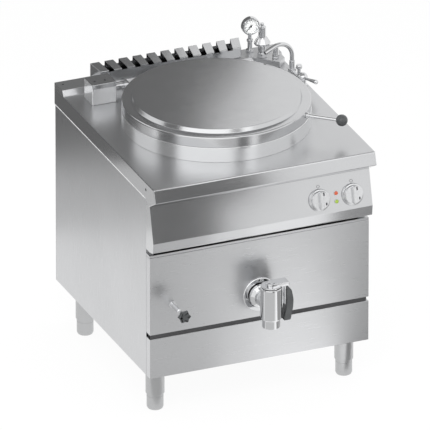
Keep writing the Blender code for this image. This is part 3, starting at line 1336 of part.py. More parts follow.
def mixer():
    """Water mixer at the right edge: body on the worktop, swivel spout, lever and second knob."""
    deck = TOP_HEIGHT + GAP
    axis_z = MIXER_Z
    rear = SPOUT_Y + MIXER_RADIUS * 1.2
    body = rod("mixer_body", (MIXER_X, rear, axis_z),
               (MIXER_X, MIXER_FRONT_Y + MIXER_BALL_RADIUS * 0.6, axis_z), MIXER_RADIUS, CHROME)
    foot = turned(
        "mixer_foot",
        [
            (0.0, axis_z),
            (MIXER_NUT_RADIUS * 0.8, axis_z),
            (MIXER_NUT_RADIUS * 0.8, deck + 0.006),
            (MIXER_NUT_RADIUS * 1.2, deck + 0.004),
            (MIXER_NUT_RADIUS * 1.2, deck),
            (0.0, deck),
        ],
        None, 20, (MIXER_X, SPOUT_Y, 0.0), closed=False)
    collar_top = axis_z + MIXER_RADIUS + 0.006
    neck = rod("mixer_neck", (MIXER_X, SPOUT_Y, axis_z), (MIXER_X, SPOUT_Y, collar_top),
               MIXER_NUT_RADIUS * 0.85, sides=20)
    stub = rod("mixer_stub", (MIXER_X, STUB_Y, axis_z), (MIXER_X, STUB_Y, TOP_HEIGHT + STUB_RISE),
               STUB_RADIUS, sides=16)
    seat = rod("mixer_seat", (MIXER_X, MIXER_FRONT_Y + MIXER_BALL_RADIUS * 1.25, axis_z),
               (MIXER_X, MIXER_FRONT_Y + MIXER_BALL_RADIUS * 0.5, axis_z), MIXER_BALL_RADIUS * 0.8)
    ball_room = bmesh.new()
    bmesh.ops.create_uvsphere(
        ball_room, u_segments=18, v_segments=10, radius=MIXER_BALL_RADIUS + 2 * GAP,
        matrix=Matrix.Translation((MIXER_X, MIXER_FRONT_Y, axis_z)))
    room = from_bmesh(ball_room, "mixer_ball_room", None)
    spout_base = collar_top + GAP
    join(body, foot, neck, stub, seat)
    cut(body, room)
    spout = swivel_spout(spout_base)
    carry("spout_axis", (MIXER_X, SPOUT_Y, spout_base), spout)
    knob_low = TOP_HEIGHT + STUB_RISE + GAP
    tap_knob = turned(
        "tap_knob",
        [
            (0.0, knob_low + TAP_KNOB_HEIGHT),
            (TAP_KNOB_RADIUS * 0.7, knob_low + TAP_KNOB_HEIGHT),
            (TAP_KNOB_RADIUS, knob_low + TAP_KNOB_HEIGHT * 0.75),
            (TAP_KNOB_RADIUS, knob_low + TAP_KNOB_HEIGHT * 0.25),
            (TAP_KNOB_RADIUS * 0.7, knob_low),
            (0.0, knob_low),
        ],
        CHROME, 24, (MIXER_X, STUB_Y, 0.0), closed=False)
    carry("tap_knob_axis", (MIXER_X, STUB_Y, knob_low), tap_knob)
    lever_ball = bmesh.new()
    pivot = Vector((MIXER_X, MIXER_FRONT_Y, axis_z))
    bmesh.ops.create_uvsphere(lever_ball, u_segments=18, v_segments=10, radius=MIXER_BALL_RADIUS,
                              matrix=Matrix.Translation(pivot))
    lever = from_bmesh(lever_ball, "tap_lever", CHROME)
    smooth(lever)
    along = Vector((0, -math.cos(LEVER_RISE), math.sin(LEVER_RISE)))
    count = 5
    points = [pivot + along * (MIXER_BALL_RADIUS * 0.5 + (LEVER_LENGTH - MIXER_BALL_RADIUS * 0.5)
                               * step / count) for step in range(count + 1)]
    sizes = [LEVER_ROOT_RADIUS + (LEVER_TIP_RADIUS - LEVER_ROOT_RADIUS) * (step / count) ** 1.5
             for step in range(count + 1)]
    sizes[-1] = LEVER_TIP_RADIUS * 0.6
    handle = swept("lever_bar", points, 1.0, None, 2, sizes)
    join(lever, handle)
    carry("tap_lever_axis", pivot, lever)


def swivel_spout(base_z):
    """A swan neck: nut, upright, one bend past the level, short dipping arm."""
    heading = Vector((math.cos(SPOUT_HEADING), math.sin(SPOUT_HEADING), 0))
    foot = Vector((MIXER_X, SPOUT_Y, base_z))
    upright_top = Vector((MIXER_X, SPOUT_Y, TOP_HEIGHT + SPOUT_STRAIGHT_TOP))
    bend_centre = upright_top + heading * SPOUT_BEND
    points = [foot]
    turn = math.pi / 2 + SPOUT_DIP
    count = 10
    for step in range(count + 1):
        angle = turn * step / count
        points.append(bend_centre - heading * SPOUT_BEND * math.cos(angle)
                      + Vector((0, 0, SPOUT_BEND * math.sin(angle))))
    arm = heading * math.cos(SPOUT_DIP) - Vector((0, 0, math.sin(SPOUT_DIP)))
    reached = (points[-1] - Vector((MIXER_X, SPOUT_Y, points[-1].z))).length
    points.append(points[-1] + arm * ((SPOUT_REACH - reached) / math.cos(SPOUT_DIP)))
    spout = swept("swivel_spout", points, SPOUT_RADIUS, CHROME, 3)
    nut = rod("spout_nut", foot, foot + Vector((0, 0, MIXER_NUT_HEIGHT)), MIXER_NUT_RADIUS * 0.8,
              sides=6)
    join(spout, nut)
    tail = points[-1] + arm * 0.004
    bore = swept("spout_bore", [foot - Vector((0, 0, 0.004)), *points[1:-1], tail], SPOUT_BORE,
                 None, 2)
    return cut(spout, bore)


def drain_tap():
    """Plug tap at the front: escutcheon, body with spout, plug, arm and grip."""
    centre = (0, 0, DRAIN_Z)
    hole = DRAIN_PIPE_RADIUS + GAP
    turned(
        "drain_escutcheon",
        [
            (hole, ESCUTCHEON_DEPTH),
            (ESCUTCHEON_RADIUS * 0.62, ESCUTCHEON_DEPTH),
            (ESCUTCHEON_RADIUS * 0.80, ESCUTCHEON_DEPTH * 0.45),
            (ESCUTCHEON_RADIUS * 0.93, ESCUTCHEON_DEPTH * 0.75),
            (ESCUTCHEON_RADIUS, ESCUTCHEON_DEPTH * 0.35),
            (ESCUTCHEON_RADIUS, GAP),
            (hole, GAP),
        ],
        CHROME, 32, centre, (0, -1, 0))
    axis_y = -DRAIN_REACH
    start_y = -ESCUTCHEON_DEPTH - GAP
    body = turned(
        "drain_tap_body",
        [
            (0.0, DRAIN_BODY_HIGH),
            (DRAIN_BODY_RADIUS - 0.004, DRAIN_BODY_HIGH),
            (DRAIN_BODY_RADIUS, DRAIN_BODY_HIGH - 0.004),
            (DRAIN_BODY_RADIUS, DRAIN_BODY_LOW + 0.006),
            (DRAIN_BODY_RADIUS - 0.004, DRAIN_BODY_LOW),
            (DRAIN_OUTLET_RADIUS, DRAIN_BODY_LOW),
            (DRAIN_OUTLET_RADIUS, DRAIN_OUTLET_LOW + 0.002),
            (DRAIN_OUTLET_RADIUS - 0.002, DRAIN_OUTLET_LOW),
            (0.0, DRAIN_OUTLET_LOW),
        ],
        CHROME, 28, (0, axis_y, 0.0), closed=False)
    barrel = rod("drain_barrel", (0, start_y - DRAIN_FLANGE_DEPTH / 2, DRAIN_Z),
                 (0, axis_y, DRAIN_Z), DRAIN_BARREL_RADIUS, sides=26)
    flange = turned(
        "drain_flange",
        [
            (0.0, DRAIN_FLANGE_DEPTH),
            (DRAIN_FLANGE_RADIUS - 0.006, DRAIN_FLANGE_DEPTH),
            (DRAIN_FLANGE_RADIUS, DRAIN_FLANGE_DEPTH - 0.006),
            (DRAIN_FLANGE_RADIUS, 0.0),
            (0.0, 0.0),
        ],
        None, 28, (0, start_y, DRAIN_Z), (0, -1, 0), closed=False)
    bore = rod("drain_bore", (0, axis_y, DRAIN_OUTLET_LOW - 0.01),
               (0, axis_y, DRAIN_BODY_HIGH + 0.01), DRAIN_BORE + GAP)
    cross = rod("drain_cross_bore", (0, start_y + 0.01, DRAIN_Z), (0, axis_y, DRAIN_Z),
                PLUG_PORT_RADIUS + 0.002, sides=20)
    join(body, barrel, flange)
    cut(body, bore, cross)
    plug_high = DRAIN_BODY_HIGH + 0.002
    plug = rod("drain_plug", (0, axis_y, PLUG_LOW), (0, axis_y, plug_high), DRAIN_BORE, BRONZE)
    port_down = rod("plug_port_down", (0, axis_y, PLUG_LOW - 0.01), (0, axis_y, DRAIN_Z),
                    PLUG_PORT_RADIUS, sides=20)
    port_side = rod("plug_port_side", (0, axis_y, DRAIN_Z), (-DRAIN_BORE * 1.4, axis_y, DRAIN_Z),
                    PLUG_PORT_RADIUS, sides=20)
    cut(plug, port_down, port_side)
    arm_z = plug_high + GAP
    arm = turned(
        "drain_arm",
        [
            (0.0, arm_z + ARM_HUB_HEIGHT),
            (ARM_HUB_RADIUS * 0.45, arm_z + ARM_HUB_HEIGHT * 0.95),
            (ARM_HUB_RADIUS * 0.85, arm_z + ARM_HUB_HEIGHT * 0.62),
            (ARM_HUB_RADIUS, arm_z + ARM_HUB_HEIGHT * 0.3),
            (ARM_HUB_RADIUS, arm_z),
            (0.0, arm_z),
        ],
        CHROME, 32, (0, axis_y, 0.0), closed=False)
    half = DRAIN_ARM_WIDTH / 2
    strip = drain_strip(arm_z, axis_y, half)
    join(arm, strip)
    grip = drain_grip(axis_y, arm_z - GRIP_TOP_DROP)
    carry("drain_axis", (0, axis_y, arm_z), plug, arm, grip)


def drain_strip(arm_z, axis_y, half):
    """The strap of the tap arm: out over the body, then down along the inside of the grip."""
    thick = DRAIN_STRIP
    outer = [(0.0, arm_z + DRAIN_ARM_HEIGHT)]
    inner = [(0.0, arm_z + DRAIN_ARM_HEIGHT - thick)]
    shoulder = grip_line(0.0) - thick
    outer.append((shoulder, arm_z + DRAIN_ARM_HEIGHT - 0.001))
    inner.append((shoulder - thick, arm_z + DRAIN_ARM_HEIGHT - thick - 0.001))
    count = 6
    for step in range(count + 1):
        drop = GRIP_TOP_DROP + (DRAIN_STRIP_DROP - GRIP_TOP_DROP) * step / count
        share = (drop - GRIP_TOP_DROP) / GRIP_HEIGHT
        face = grip_line(share) - GAP
        outer.append((face, arm_z - drop))
        inner.append((face - thick, arm_z - drop))
    return prism("drain_strip", outer + inner[::-1], "y", axis_y - half, axis_y + half)


def grip_line(share, side=-1):
    """How far a side of the grip stands from the tap's axis, at a share of its height."""
    for first, second in zip(GRIP_SECTIONS, GRIP_SECTIONS[1:]):
        if share <= second[0]:
            part = (share - first[0]) / (second[0] - first[0])
            middle = first[1] + (second[1] - first[1]) * part
            half = first[2] + (second[2] - first[2]) * part
            return middle + side * half
    return GRIP_SECTIONS[-1][1] + side * GRIP_SECTIONS[-1][2]


def drain_grip(axis_y, top):
    """The black grip beside the tap: it swells outwards half-way down and tucks in at its foot."""
    count = 10
    outline = [(grip_line(step / count, 1), top - GRIP_HEIGHT * step / count)
               for step in range(count + 1)]
    outline += [(grip_line(step / count, -1), top - GRIP_HEIGHT * step / count)
                for step in range(count, -1, -1)]
    grip = prism("drain_grip", outline, "y", axis_y - GRIP_DEPTH / 2, axis_y + GRIP_DEPTH / 2,
                 BLACK_PLASTIC)
    return round_edges(grip, GRIP_ROUND, 2, 50)


def level_tap():
    """Level tap on the front panel: nut, stem, and a star knob on its end."""
    centre = (LEVEL_X, 0.0, LEVEL_Z)
    knob_start = LEVEL_REACH - STAR_DEPTH / 2
    turned(
        "level_tap_stem",
        [
            (0.0, knob_start - GAP),
            (LEVEL_ROD_RADIUS * 0.62, knob_start - GAP),
            (LEVEL_ROD_RADIUS * 0.62, LEVEL_REACH * 0.62),
            (LEVEL_ROD_RADIUS, LEVEL_REACH * 0.60),
            (LEVEL_ROD_RADIUS, LEVEL_NUT_LENGTH + GAP),
            (LEVEL_NUT_RADIUS * 0.92, LEVEL_NUT_LENGTH),
            (LEVEL_NUT_RADIUS, LEVEL_NUT_LENGTH * 0.7),
            (LEVEL_NUT_RADIUS, GAP),
            (LEVEL_ROD_RADIUS, GAP),
            (LEVEL_ROD_RADIUS, -PAN_DEPTH),
            (0.0, -PAN_DEPTH),
        ],
        CHROME, 24, centre, (0, -1, 0), closed=False)
    outline = []
    count = STAR_LOBES * 6
    for step in range(count):
        angle = math.tau * step / count
        radius = STAR_RADIUS - STAR_LOBE_DEPTH * (1 - math.cos(STAR_LOBES * angle)) / 2
        outline.append((LEVEL_X + radius * math.cos(angle), LEVEL_Z + radius * math.sin(angle)))
    front = -(knob_start + STAR_DEPTH)
    star = prism("level_tap_knob", outline, "y", -knob_start, front, BLACK_PLASTIC)
    round_edges(star, 0.003, 1)
    smooth(star)
    carry("level_tap_axis", (LEVEL_X, -knob_start, LEVEL_Z), star)


def build():
    side_panel("left_side_panel", -1)
    side_panel("right_side_panel", 1)
    front_panels()
    control_panel()
    worktop()
    rear_and_base()
    knob("heat_knob", HEAT_KNOB_X)
    knob("switch_knob", SWITCH_KNOB_X)
    lamp("orange_lamp", ORANGE_LAMP_DOWN, ORANGE_LENS)
    lamp("green_lamp", GREEN_LAMP_DOWN, GREEN_LENS)
    leg("front_left", -LEG_X, LEG_FRONT_Y)
    leg("front_right", LEG_X, LEG_FRONT_Y)
    leg("rear_left", -LEG_X, LEG_REAR_Y)
    leg("rear_right", LEG_X, LEG_REAR_Y)
    collar()
    vessel()
    jacket()
    heating_element()
    inner_pipes()
    cover, seal = lid()
    handle, ball = lid_handle()
    left_arm = lid_arm("lid_arm_left", -1)
    right_arm = lid_arm("lid_arm_right", 1)
    axle, pin = hinge()
    carry("lid_axis", (0.0, HINGE_Y, HINGE_Z),
          cover, seal, handle, ball, left_arm, right_arm, axle, pin)
    flue_comb()
    valve_platform()
    gauge()
    valves()
    mixer()
    drain_tap()
    level_tap()


build()
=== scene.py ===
import math

import bmesh
import bpy
import numpy as np
from bpy.props import FloatProperty, FloatVectorProperty, PointerProperty
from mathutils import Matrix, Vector


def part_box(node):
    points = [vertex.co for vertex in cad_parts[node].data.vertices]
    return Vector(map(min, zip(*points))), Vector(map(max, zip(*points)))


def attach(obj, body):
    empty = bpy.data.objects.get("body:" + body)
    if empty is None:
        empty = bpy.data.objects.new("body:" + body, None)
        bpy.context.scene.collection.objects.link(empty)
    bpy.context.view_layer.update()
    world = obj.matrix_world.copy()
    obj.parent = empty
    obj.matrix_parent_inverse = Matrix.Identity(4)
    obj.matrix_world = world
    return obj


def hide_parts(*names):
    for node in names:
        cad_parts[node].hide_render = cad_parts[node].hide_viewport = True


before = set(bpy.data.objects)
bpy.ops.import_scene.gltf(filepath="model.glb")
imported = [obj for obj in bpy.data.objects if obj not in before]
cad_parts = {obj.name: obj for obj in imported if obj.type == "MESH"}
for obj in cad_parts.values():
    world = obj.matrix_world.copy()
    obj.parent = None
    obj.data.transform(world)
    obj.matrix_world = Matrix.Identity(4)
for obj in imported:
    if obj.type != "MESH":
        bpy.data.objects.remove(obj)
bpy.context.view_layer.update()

bl_info = {
    "name": "Steam Jacketed Kettle",
    "version": (1, 0, 0),
    "blender": (4, 5, 0),
    "location": "3D View > Sidebar > Kettle",
    "description": "Builds the visible pieces and finishes of a steam jacketed kettle",
    "category": "Object",
}

# Radius of an edge that is only broken, and of the edges of the thinnest pieces, in metres
HAIR = 0.0004
FINE = 0.0003

# How far a finished surface stands off the sheet that it sits on
GAP = 0.0003

# An arc takes at most this share of the shorter side beside it, and the flat beside it is held
# flat by a point this share of the arc's reach farther on
ARC_SHARE = 0.4
SUPPORT = 0.35

# Below this, the sum of the two directions away from a corner counts as nothing
STRAIGHT = 1e-9

# Points closer than this are one point
SAME_SPOT = 1e-6

# Faces that meet at more than this are shaded with a sharp edge
SHARP_TURN = math.radians(40)

RIGHT = np.array([1.0, 0.0, 0.0])
FORWARD = np.array([0.0, -1.0, 0.0])
REARWARD = np.array([0.0, 1.0, 0.0])
UP = np.array([0.0, 0.0, 1.0])


# Shapes

def unit(vectors):
    """Each vector divided by its own length."""
    return vectors / np.linalg.norm(vectors, axis=-1, keepdims=True)


def filleted(corners, radius=HAIR, closed=False, count=4):
    """A line of corners with each corner swapped for an arc that touches both of its sides.

    The arc's reach along a side is radius / tan(half the corner's angle), held to a share of the
    shorter side, and a point on each side just past the arc keeps the flat beside it flat. Its
    centre lies inward, between the two sides. Where the line runs straight on, no way is inward,
    so the centre is set square to the line and the arc shrinks to the corner itself.
    """
    corners = np.asarray(corners, float)
    here = corners if closed else corners[1:-1]
    back = (np.roll(corners, 1, 0) if closed else corners[:-2]) - here
    ahead = (np.roll(corners, -1, 0) if closed else corners[2:]) - here
    shorter = np.minimum(np.linalg.norm(back, axis=1), np.linalg.norm(ahead, axis=1))
    back, ahead = unit(back), unit(ahead)
    half = np.arccos(np.clip((back * ahead).sum(1), -1, 1)) / 2
    wanted = np.broadcast_to(np.asarray(radius, float), (len(here),))
    reach = np.minimum(wanted / np.tan(half), ARC_SHARE * shorter)
    real = reach * np.tan(half)
    inward = back + ahead
    straight = np.abs(inward).max(axis=1) < STRAIGHT
    inward[straight] = np.stack([-ahead[:, 1], ahead[:, 0]], -1)[straight]
    centre = here + unit(inward) * (real / np.sin(half))[:, None]
    first = here + back * reach[:, None] - centre
    last = here + ahead * reach[:, None] - centre
    turn = np.arctan2(first[:, 0] * last[:, 1] - first[:, 1] * last[:, 0], (first * last).sum(1))
    angle = turn[:, None] * np.linspace(0, 1, count + 1)
    cos, sin = np.cos(angle), np.sin(angle)
    arc = np.stack([first[:, :1] * cos - first[:, 1:] * sin,
                    first[:, :1] * sin + first[:, 1:] * cos], -1) + centre[:, None]
    spare = (reach * SUPPORT)[:, None]
    before = (here + back * (reach[:, None] + spare))[:, None]
    after = (here + ahead * (reach[:, None] + spare))[:, None]
    points = np.concatenate([before, arc, after], 1).reshape(-1, 2)
    return points if closed else np.concatenate([corners[:1], points, corners[-1:]])


def facing(axis):
    """Two directions at right angles to an axis, and the axis itself."""
    axis = unit(np.asarray(axis, float))
    nearly_sideways = abs(axis[0]) >= 0.9
    first = unit(np.cross(REARWARD if nearly_sideways else RIGHT, axis))
    return first, np.cross(axis, first), axis


def turned(profile, centre, axis=UP, steps=96, lobes=None):
    """A profile of (radius, height) carried round an axis: centre + radius around + height along.

    lobes is (share, count, low, high): between two heights the radius also swings by that share,
    count times in a turn, which gives flutes and knurls.
    """
    profile = np.asarray(profile, float)
    first, second, along = facing(axis)
    angle = np.arange(steps) * (math.tau / steps)
    radius = np.repeat(profile[:, :1], steps, 1)
    if lobes:
        share, count, low, high = lobes
        inside = (profile[:, 1] > low) & (profile[:, 1] < high)
        radius = radius * (1 + share * np.outer(inside, np.cos(count * angle)))
    ring = np.cos(angle)[:, None] * first + np.sin(angle)[:, None] * second
    return (np.asarray(centre, float) + radius[..., None] * ring
            + profile[:, 1, None, None] * along)


def outline_normals(outline):
    """Outward directions of a closed flat outline that runs anticlockwise."""
    step = np.roll(outline, -1, 0) - np.roll(outline, 1, 0)
    return unit(np.stack([step[:, 1], -step[:, 0]], -1))


def pillowed(outline, low, high, rim, place, count=4):
    """A flat outline pushed from low to high, with its two rims rounded.

    Points that repeat the one before them are left out, because they have no normal. Near each
    end the outline moves in by rim (1 - cos a) and along by rim (1 - sin a), as a goes through a
    quarter turn. One more ring 1.5 rims in keeps the flat end flat. place turns (a, b, height)
    into a point.
    """
    outline = np.asarray(outline, float)
    outline = outline[np.linalg.norm(outline - np.roll(outline, 1, 0), axis=1) > SAME_SPOT]
    step = np.roll(outline, -1, 0) - outline
    if (outline[:, 0] * step[:, 1] - outline[:, 1] * step[:, 0]).sum() < 0:
        outline = outline[::-1]
    normals = outline_normals(outline)
    angle = np.linspace(0, math.pi / 2, count + 1)
    inset = rim * (1 - np.sin(angle))
    rise = rim * (1 - np.cos(angle))
    flat_end = [rim * 1.5]
    insets = np.concatenate([flat_end, inset, inset[::-1], flat_end])
    heights = np.concatenate([[low], low + rise, high - rise[::-1], [high]])
    spots = outline[None] - insets[:, None, None] * normals[None]
    rows = np.concatenate([spots, np.broadcast_to(heights[:, None, None], spots.shape[:2] + (1,))], -1)
    return place(rows)


def on_axes(first, second, third, origin=(0, 0, 0)):
    """A function that places local (a, b, c) along three given directions."""
    matrix = np.array([first, second, third], float)
    origin = np.asarray(origin, float)
    return lambda rows: origin + rows @ matrix


def piped(path, across, radii, steps=24):
    """A round section carried along a flat path: path + radius (cos t across + sin t beside).

    across is the direction at right angles to the plane that the path lies in.
    """
    path = np.asarray(path, float)
    along = unit(np.gradient(path, axis=0))
    across = unit(np.asarray(across, float))
    beside = unit(np.cross(along, across))
    angle = np.arange(steps) * (math.tau / steps)
    radii = np.broadcast_to(np.asarray(radii, float), (len(path),))
    ring = np.cos(angle)[None, :, None] * across + np.sin(angle)[None, :, None] * beside[:, None]
    return path[:, None] + radii[:, None, None] * ring


def skin(rows, closed=False, tips=(False, False), caps=(False, False)):
    """Corners and faces over rows of points, each row closed round.

    Corner (i, j) joins (i, j + 1), (i + 1, j + 1) and (i + 1, j). A tip makes its row one point,
    and a cap closes its row with one flat face.
    """
    count, steps = rows.shape[:2]
    index = np.arange(count * steps).reshape(count, steps)
    for flag, row in zip(tips, (0, -1)):
        if flag:
            index[row] = index[row, 0]
    lower = index if closed else index[:-1]
    upper = np.roll(index, -1, 0) if closed else index[1:]
    quads = np.stack([lower, np.roll(lower, -1, 1), np.roll(upper, -1, 1), upper], -1).reshape(-1, 4)
    low_tip = quads[:, 0] == quads[:, 1]
    high_tip = quads[:, 2] == quads[:, 3]
    faces = quads[~low_tip & ~high_tip].tolist()
    faces += quads[low_tip][:, 1:].tolist()
    faces += quads[high_tip][:, :3].tolist()
    if caps[0]:
        faces.append(index[0, ::-1].tolist())
    if caps[1]:
        faces.append(index[-1].tolist())
    return rows.reshape(-1, 3), faces


def lathe(profile, centre, axis=UP, steps=96, lobes=None, ring=False):
    """The skin of a turned piece: open profiles start and end on the axis, rings close on themselves."""
    rows = turned(profile, centre, axis, steps, lobes)
    return skin(rows, closed=ring, tips=(not ring, not ring))


def slab(outline, low, high, rim, place):
    """The skin of a flat piece with rounded rims and flat ends."""
    return skin(pillowed(outline, low, high, rim, place), caps=(True, True))


def ball(centre, radius, axis=UP, steps=48):
    """A sphere by its latitudes: radius sin t out and radius cos t along."""
    angle = np.linspace(0, math.pi, steps // 2 + 1)
    return lathe(np.stack([radius * np.sin(angle), radius * np.cos(angle)], -1), centre, axis, steps)


def rectangle(left, right, low, high):
    """A plain outline by its four sides."""
    return np.array([(left, low), (right, low), (right, high), (left, high)])


def oval(half_x, half_y, radius, count=6):
    """A rectangle about the middle with its four corners rounded."""
    return filleted([(half_x, -half_y), (half_x, half_y), (-half_x, half_y), (-half_x, -half_y)],
                    radius, True, count)


def hexagon(flats, turn=0.0):
    """A nut's outline by its distance across flats."""
    angle = np.arange(6) * (math.tau / 6) + turn
    reach = flats / 2 / math.cos(math.pi / 6)
    return np.stack([np.cos(angle), np.sin(angle)], -1) * reach


def piece(name, skins, finish_name, body, stands_for=()):
    """One finished object from one or more skins, riding on its body."""
    bm = bmesh.new()
    for points, faces in skins:
        mesh = bpy.data.meshes.new(name)
        mesh.from_pydata(points.tolist(), [], faces)
        bm.from_mesh(mesh)
        bpy.data.meshes.remove(mesh)
    bmesh.ops.remove_doubles(bm, verts=bm.verts, dist=SAME_SPOT)
    loose = [vertex for vertex in bm.verts if not vertex.link_faces]
    bmesh.ops.delete(bm, geom=loose, context="VERTS")
    bmesh.ops.recalc_face_normals(bm, faces=bm.faces)
    mesh = bpy.data.meshes.new(name)
    bm.to_mesh(mesh)
    bm.free()
    mesh.shade_smooth()
    mesh.set_sharp_from_angle(angle=SHARP_TURN)
    mesh.materials.append(wear(finish_name))
    made = bpy.data.objects.new(name, mesh)
    bpy.context.scene.collection.objects.link(made)
    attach(made, body)
    if stands_for:
        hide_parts(*stands_for)
    return made


# Places taken from the frame

def span(node):
    """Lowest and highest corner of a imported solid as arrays."""
    low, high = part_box(node)
    return np.array(low), np.array(high)


def middle_of(node):
    """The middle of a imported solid."""
    low, high = span(node)
    return (low + high) / 2


def at_height(point, height):
    """The same place in plan at another height."""
    return np.array([point[0], point[1], height])


FRONT_Y = float(span("front_panel")[0][1])
DECK_Z = float(span("kettle_collar")[0][2])
LEDGE_Z = float(span("valve_platform")[1][2]) + GAP
KETTLE = at_height(middle_of("lid"), 0.0)
HINGE = np.array([0.0, *middle_of("hinge_axle")[1:]])
HANDLE_ARM = at_height(middle_of("lid_handle_ball"), 0.0) - KETTLE
HANDLE_OUT = unit(HANDLE_ARM)
TAP = at_height(middle_of("drain_plug"), 0.0)
TAP_Z = float(middle_of("drain_escutcheon")[2])
LEVEL = np.array([middle_of("level_tap_stem")[0], FRONT_Y, middle_of("level_tap_stem")[2]])
GAUGE = np.array([middle_of("gauge_dial")[0], span("gauge_dial")[1][1] + GAP,
                  middle_of("gauge_dial")[2]])
SAFETY = at_height(middle_of("safety_valve"), LEDGE_Z)
VENT = at_height(middle_of("vent_valve"), LEDGE_Z)

# The mixer's three upright lines, at the height of the lever's ball: spout, lever and knob
LEVER_BALL = 0.0185
SPOUT_FOOT = 0.0186
LEVER = np.array([middle_of("tap_lever")[0], span("tap_lever")[1][1] - LEVER_BALL,
                  span("tap_lever")[0][2] + LEVER_BALL])
MIXER = np.array([LEVER[0], span("mixer_body")[1][1] - SPOUT_FOOT, LEVER[2]])
STUB = at_height(middle_of("tap_knob"), LEVER[2])

# The control face: its lean from upright and its top edge under the worktop's nose
PANEL_LEAN = math.radians(14.0145)
PANEL_OUT = FORWARD * math.cos(PANEL_LEAN) + UP * math.sin(PANEL_LEAN)
PANEL_UP = UP * math.cos(PANEL_LEAN) - FORWARD * math.sin(PANEL_LEAN)
PANEL_TOP = np.array([0.0, FRONT_Y, float(span("worktop")[0][2])])

# How far the knobs and lamps lie down that face
KNOB_DOWN = 0.0783
LAMPS_DOWN = (("orange", 0.0650), ("green", 0.0937))


def on_panel(x, down):
    """A point of the sloping control face, by its distance down from the worktop's nose."""
    return PANEL_TOP + RIGHT * x - PANEL_UP * down + PANEL_OUT * GAP


# Finishes

# How often the grain repeats along x, y and z, against its own scale
EVEN = (1, 1, 1)
LINES_ACROSS = (1.5, 60, 60)
LINES_UPRIGHT = (60, 60, 1.5)
BANDS_ACROSS = (20, 1, 1)
BANDS_REARWARD = (1, 20, 1)
TURNED_RINGS = (1, 1, 40)
LEG_RINGS = (1, 1, 30)

# The part of the noise's range that is spread over a finish's own range
NOISE_LOW = 0.3
NOISE_HIGH = 0.7

FINISHES = {}


def graph(name):
    """A new material with its Principled shader and a place to add nodes."""
    material = bpy.data.materials.new(name)
    material.use_nodes = True
    return material, material.node_tree, material.node_tree.nodes["Principled BSDF"]


def grain(tree, stretch, scale, detail=4.0):
    """Noise on the object's own coordinates, drawn out along one direction."""
    place = tree.nodes.new("ShaderNodeTexCoord")
    mapping = tree.nodes.new("ShaderNodeMapping")
    mapping.inputs["Scale"].default_value = stretch
    noise = tree.nodes.new("ShaderNodeTexNoise")
    noise.inputs["Scale"].default_value = scale
    noise.inputs["Detail"].default_value = detail
    tree.links.new(place.outputs["Object"], mapping.inputs["Vector"])
    tree.links.new(mapping.outputs["Vector"], noise.inputs["Vector"])
    return noise.outputs["Fac"]


def spread(tree, value, low, high):
    """The noise value spread between two numbers."""
    ranged = tree.nodes.new("ShaderNodeMapRange")
    ranged.inputs["From Min"].default_value = NOISE_LOW
    ranged.inputs["From Max"].default_value = NOISE_HIGH
    ranged.inputs["To Min"].default_value = low
    ranged.inputs["To Max"].default_value = high
    tree.links.new(value, ranged.inputs["Value"])
    return ranged.outputs["Result"]


def tinted(tree, value, colour, contrast):
    """The colour a little darker or lighter with the noise value."""
    ramp = tree.nodes.new("ShaderNodeValToRGB")
    ramp.color_ramp.elements[0].position = NOISE_LOW
    ramp.color_ramp.elements[1].position = NOISE_HIGH
    for element, factor in zip(ramp.color_ramp.elements, (1 - contrast, 1 + contrast)):
        element.color = (*[min(1.0, channel * factor) for channel in colour], 1.0)
    tree.links.new(value, ramp.inputs["Fac"])
    return ramp.outputs["Color"]


def finish(name, colour, roughness, metallic, stretch=EVEN, grain_scale=60.0,
           rough_swing=0.10, contrast=0.05, bump=0.000002, cloud_scale=3.0, coat=0.0):
    """A finish with broad clouds in its colour, and fine grain in its roughness and relief."""
    material, tree, shader = graph(name)
    fine = grain(tree, stretch, grain_scale)
    broad = grain(tree, EVEN, cloud_scale, 2.0)
    tree.links.new(tinted(tree, broad, colour, contrast), shader.inputs["Base Color"])
    tree.links.new(spread(tree, fine, roughness * (1 - rough_swing), roughness * (1 + rough_swing)),
                   shader.inputs["Roughness"])
    shader.inputs["Metallic"].default_value = metallic
    shader.inputs["Coat Weight"].default_value = coat
    relief = tree.nodes.new("ShaderNodeBump")
    relief.inputs["Strength"].default_value = 1.0
    relief.inputs["Distance"].default_value = bump
    tree.links.new(fine, relief.inputs["Height"])
    tree.links.new(relief.outputs["Normal"], shader.inputs["Normal"])
    return material


def deck_blur(material, height, roughness):
    """Make the flat deck duller than the folded edges under it.

    The grain's roughness goes up by a fixed amount wherever the object's own height is over a
    level.
    """
    tree = material.node_tree
    shader = tree.nodes["Principled BSDF"]
    grained = shader.inputs["Roughness"].links[0].from_socket
    place = tree.nodes.new("ShaderNodeTexCoord")
    parts = tree.nodes.new("ShaderNodeSeparateXYZ")
    over = tree.nodes.new("ShaderNodeMath")
    over.operation = "GREATER_THAN"
    over.inputs[1].default_value = height
    more = tree.nodes.new("ShaderNodeMath")
    more.operation = "MULTIPLY_ADD"
    more.inputs[1].default_value = roughness
    tree.links.new(place.outputs["Object"], parts.inputs["Vector"])
    tree.links.new(parts.outputs["Z"], over.inputs[0])
    tree.links.new(over.outputs[0], more.inputs[0])
    tree.links.new(grained, more.inputs[2])
    tree.links.new(more.outputs[0], shader.inputs["Roughness"])
    return material


def glass(name):
    """Clear flat glass: a clean dielectric that lets the dial show through."""
    material, tree, shader = graph(name)
    shader.inputs["Base Color"].default_value = (0.97, 0.98, 0.98, 1.0)
    shader.inputs["Transmission Weight"].default_value = 1.0
    shader.inputs["IOR"].default_value = 1.45
    fine = grain(tree, EVEN, 40.0)
    tree.links.new(spread(tree, fine, 0.0, 0.03), shader.inputs["Roughness"])
    return material


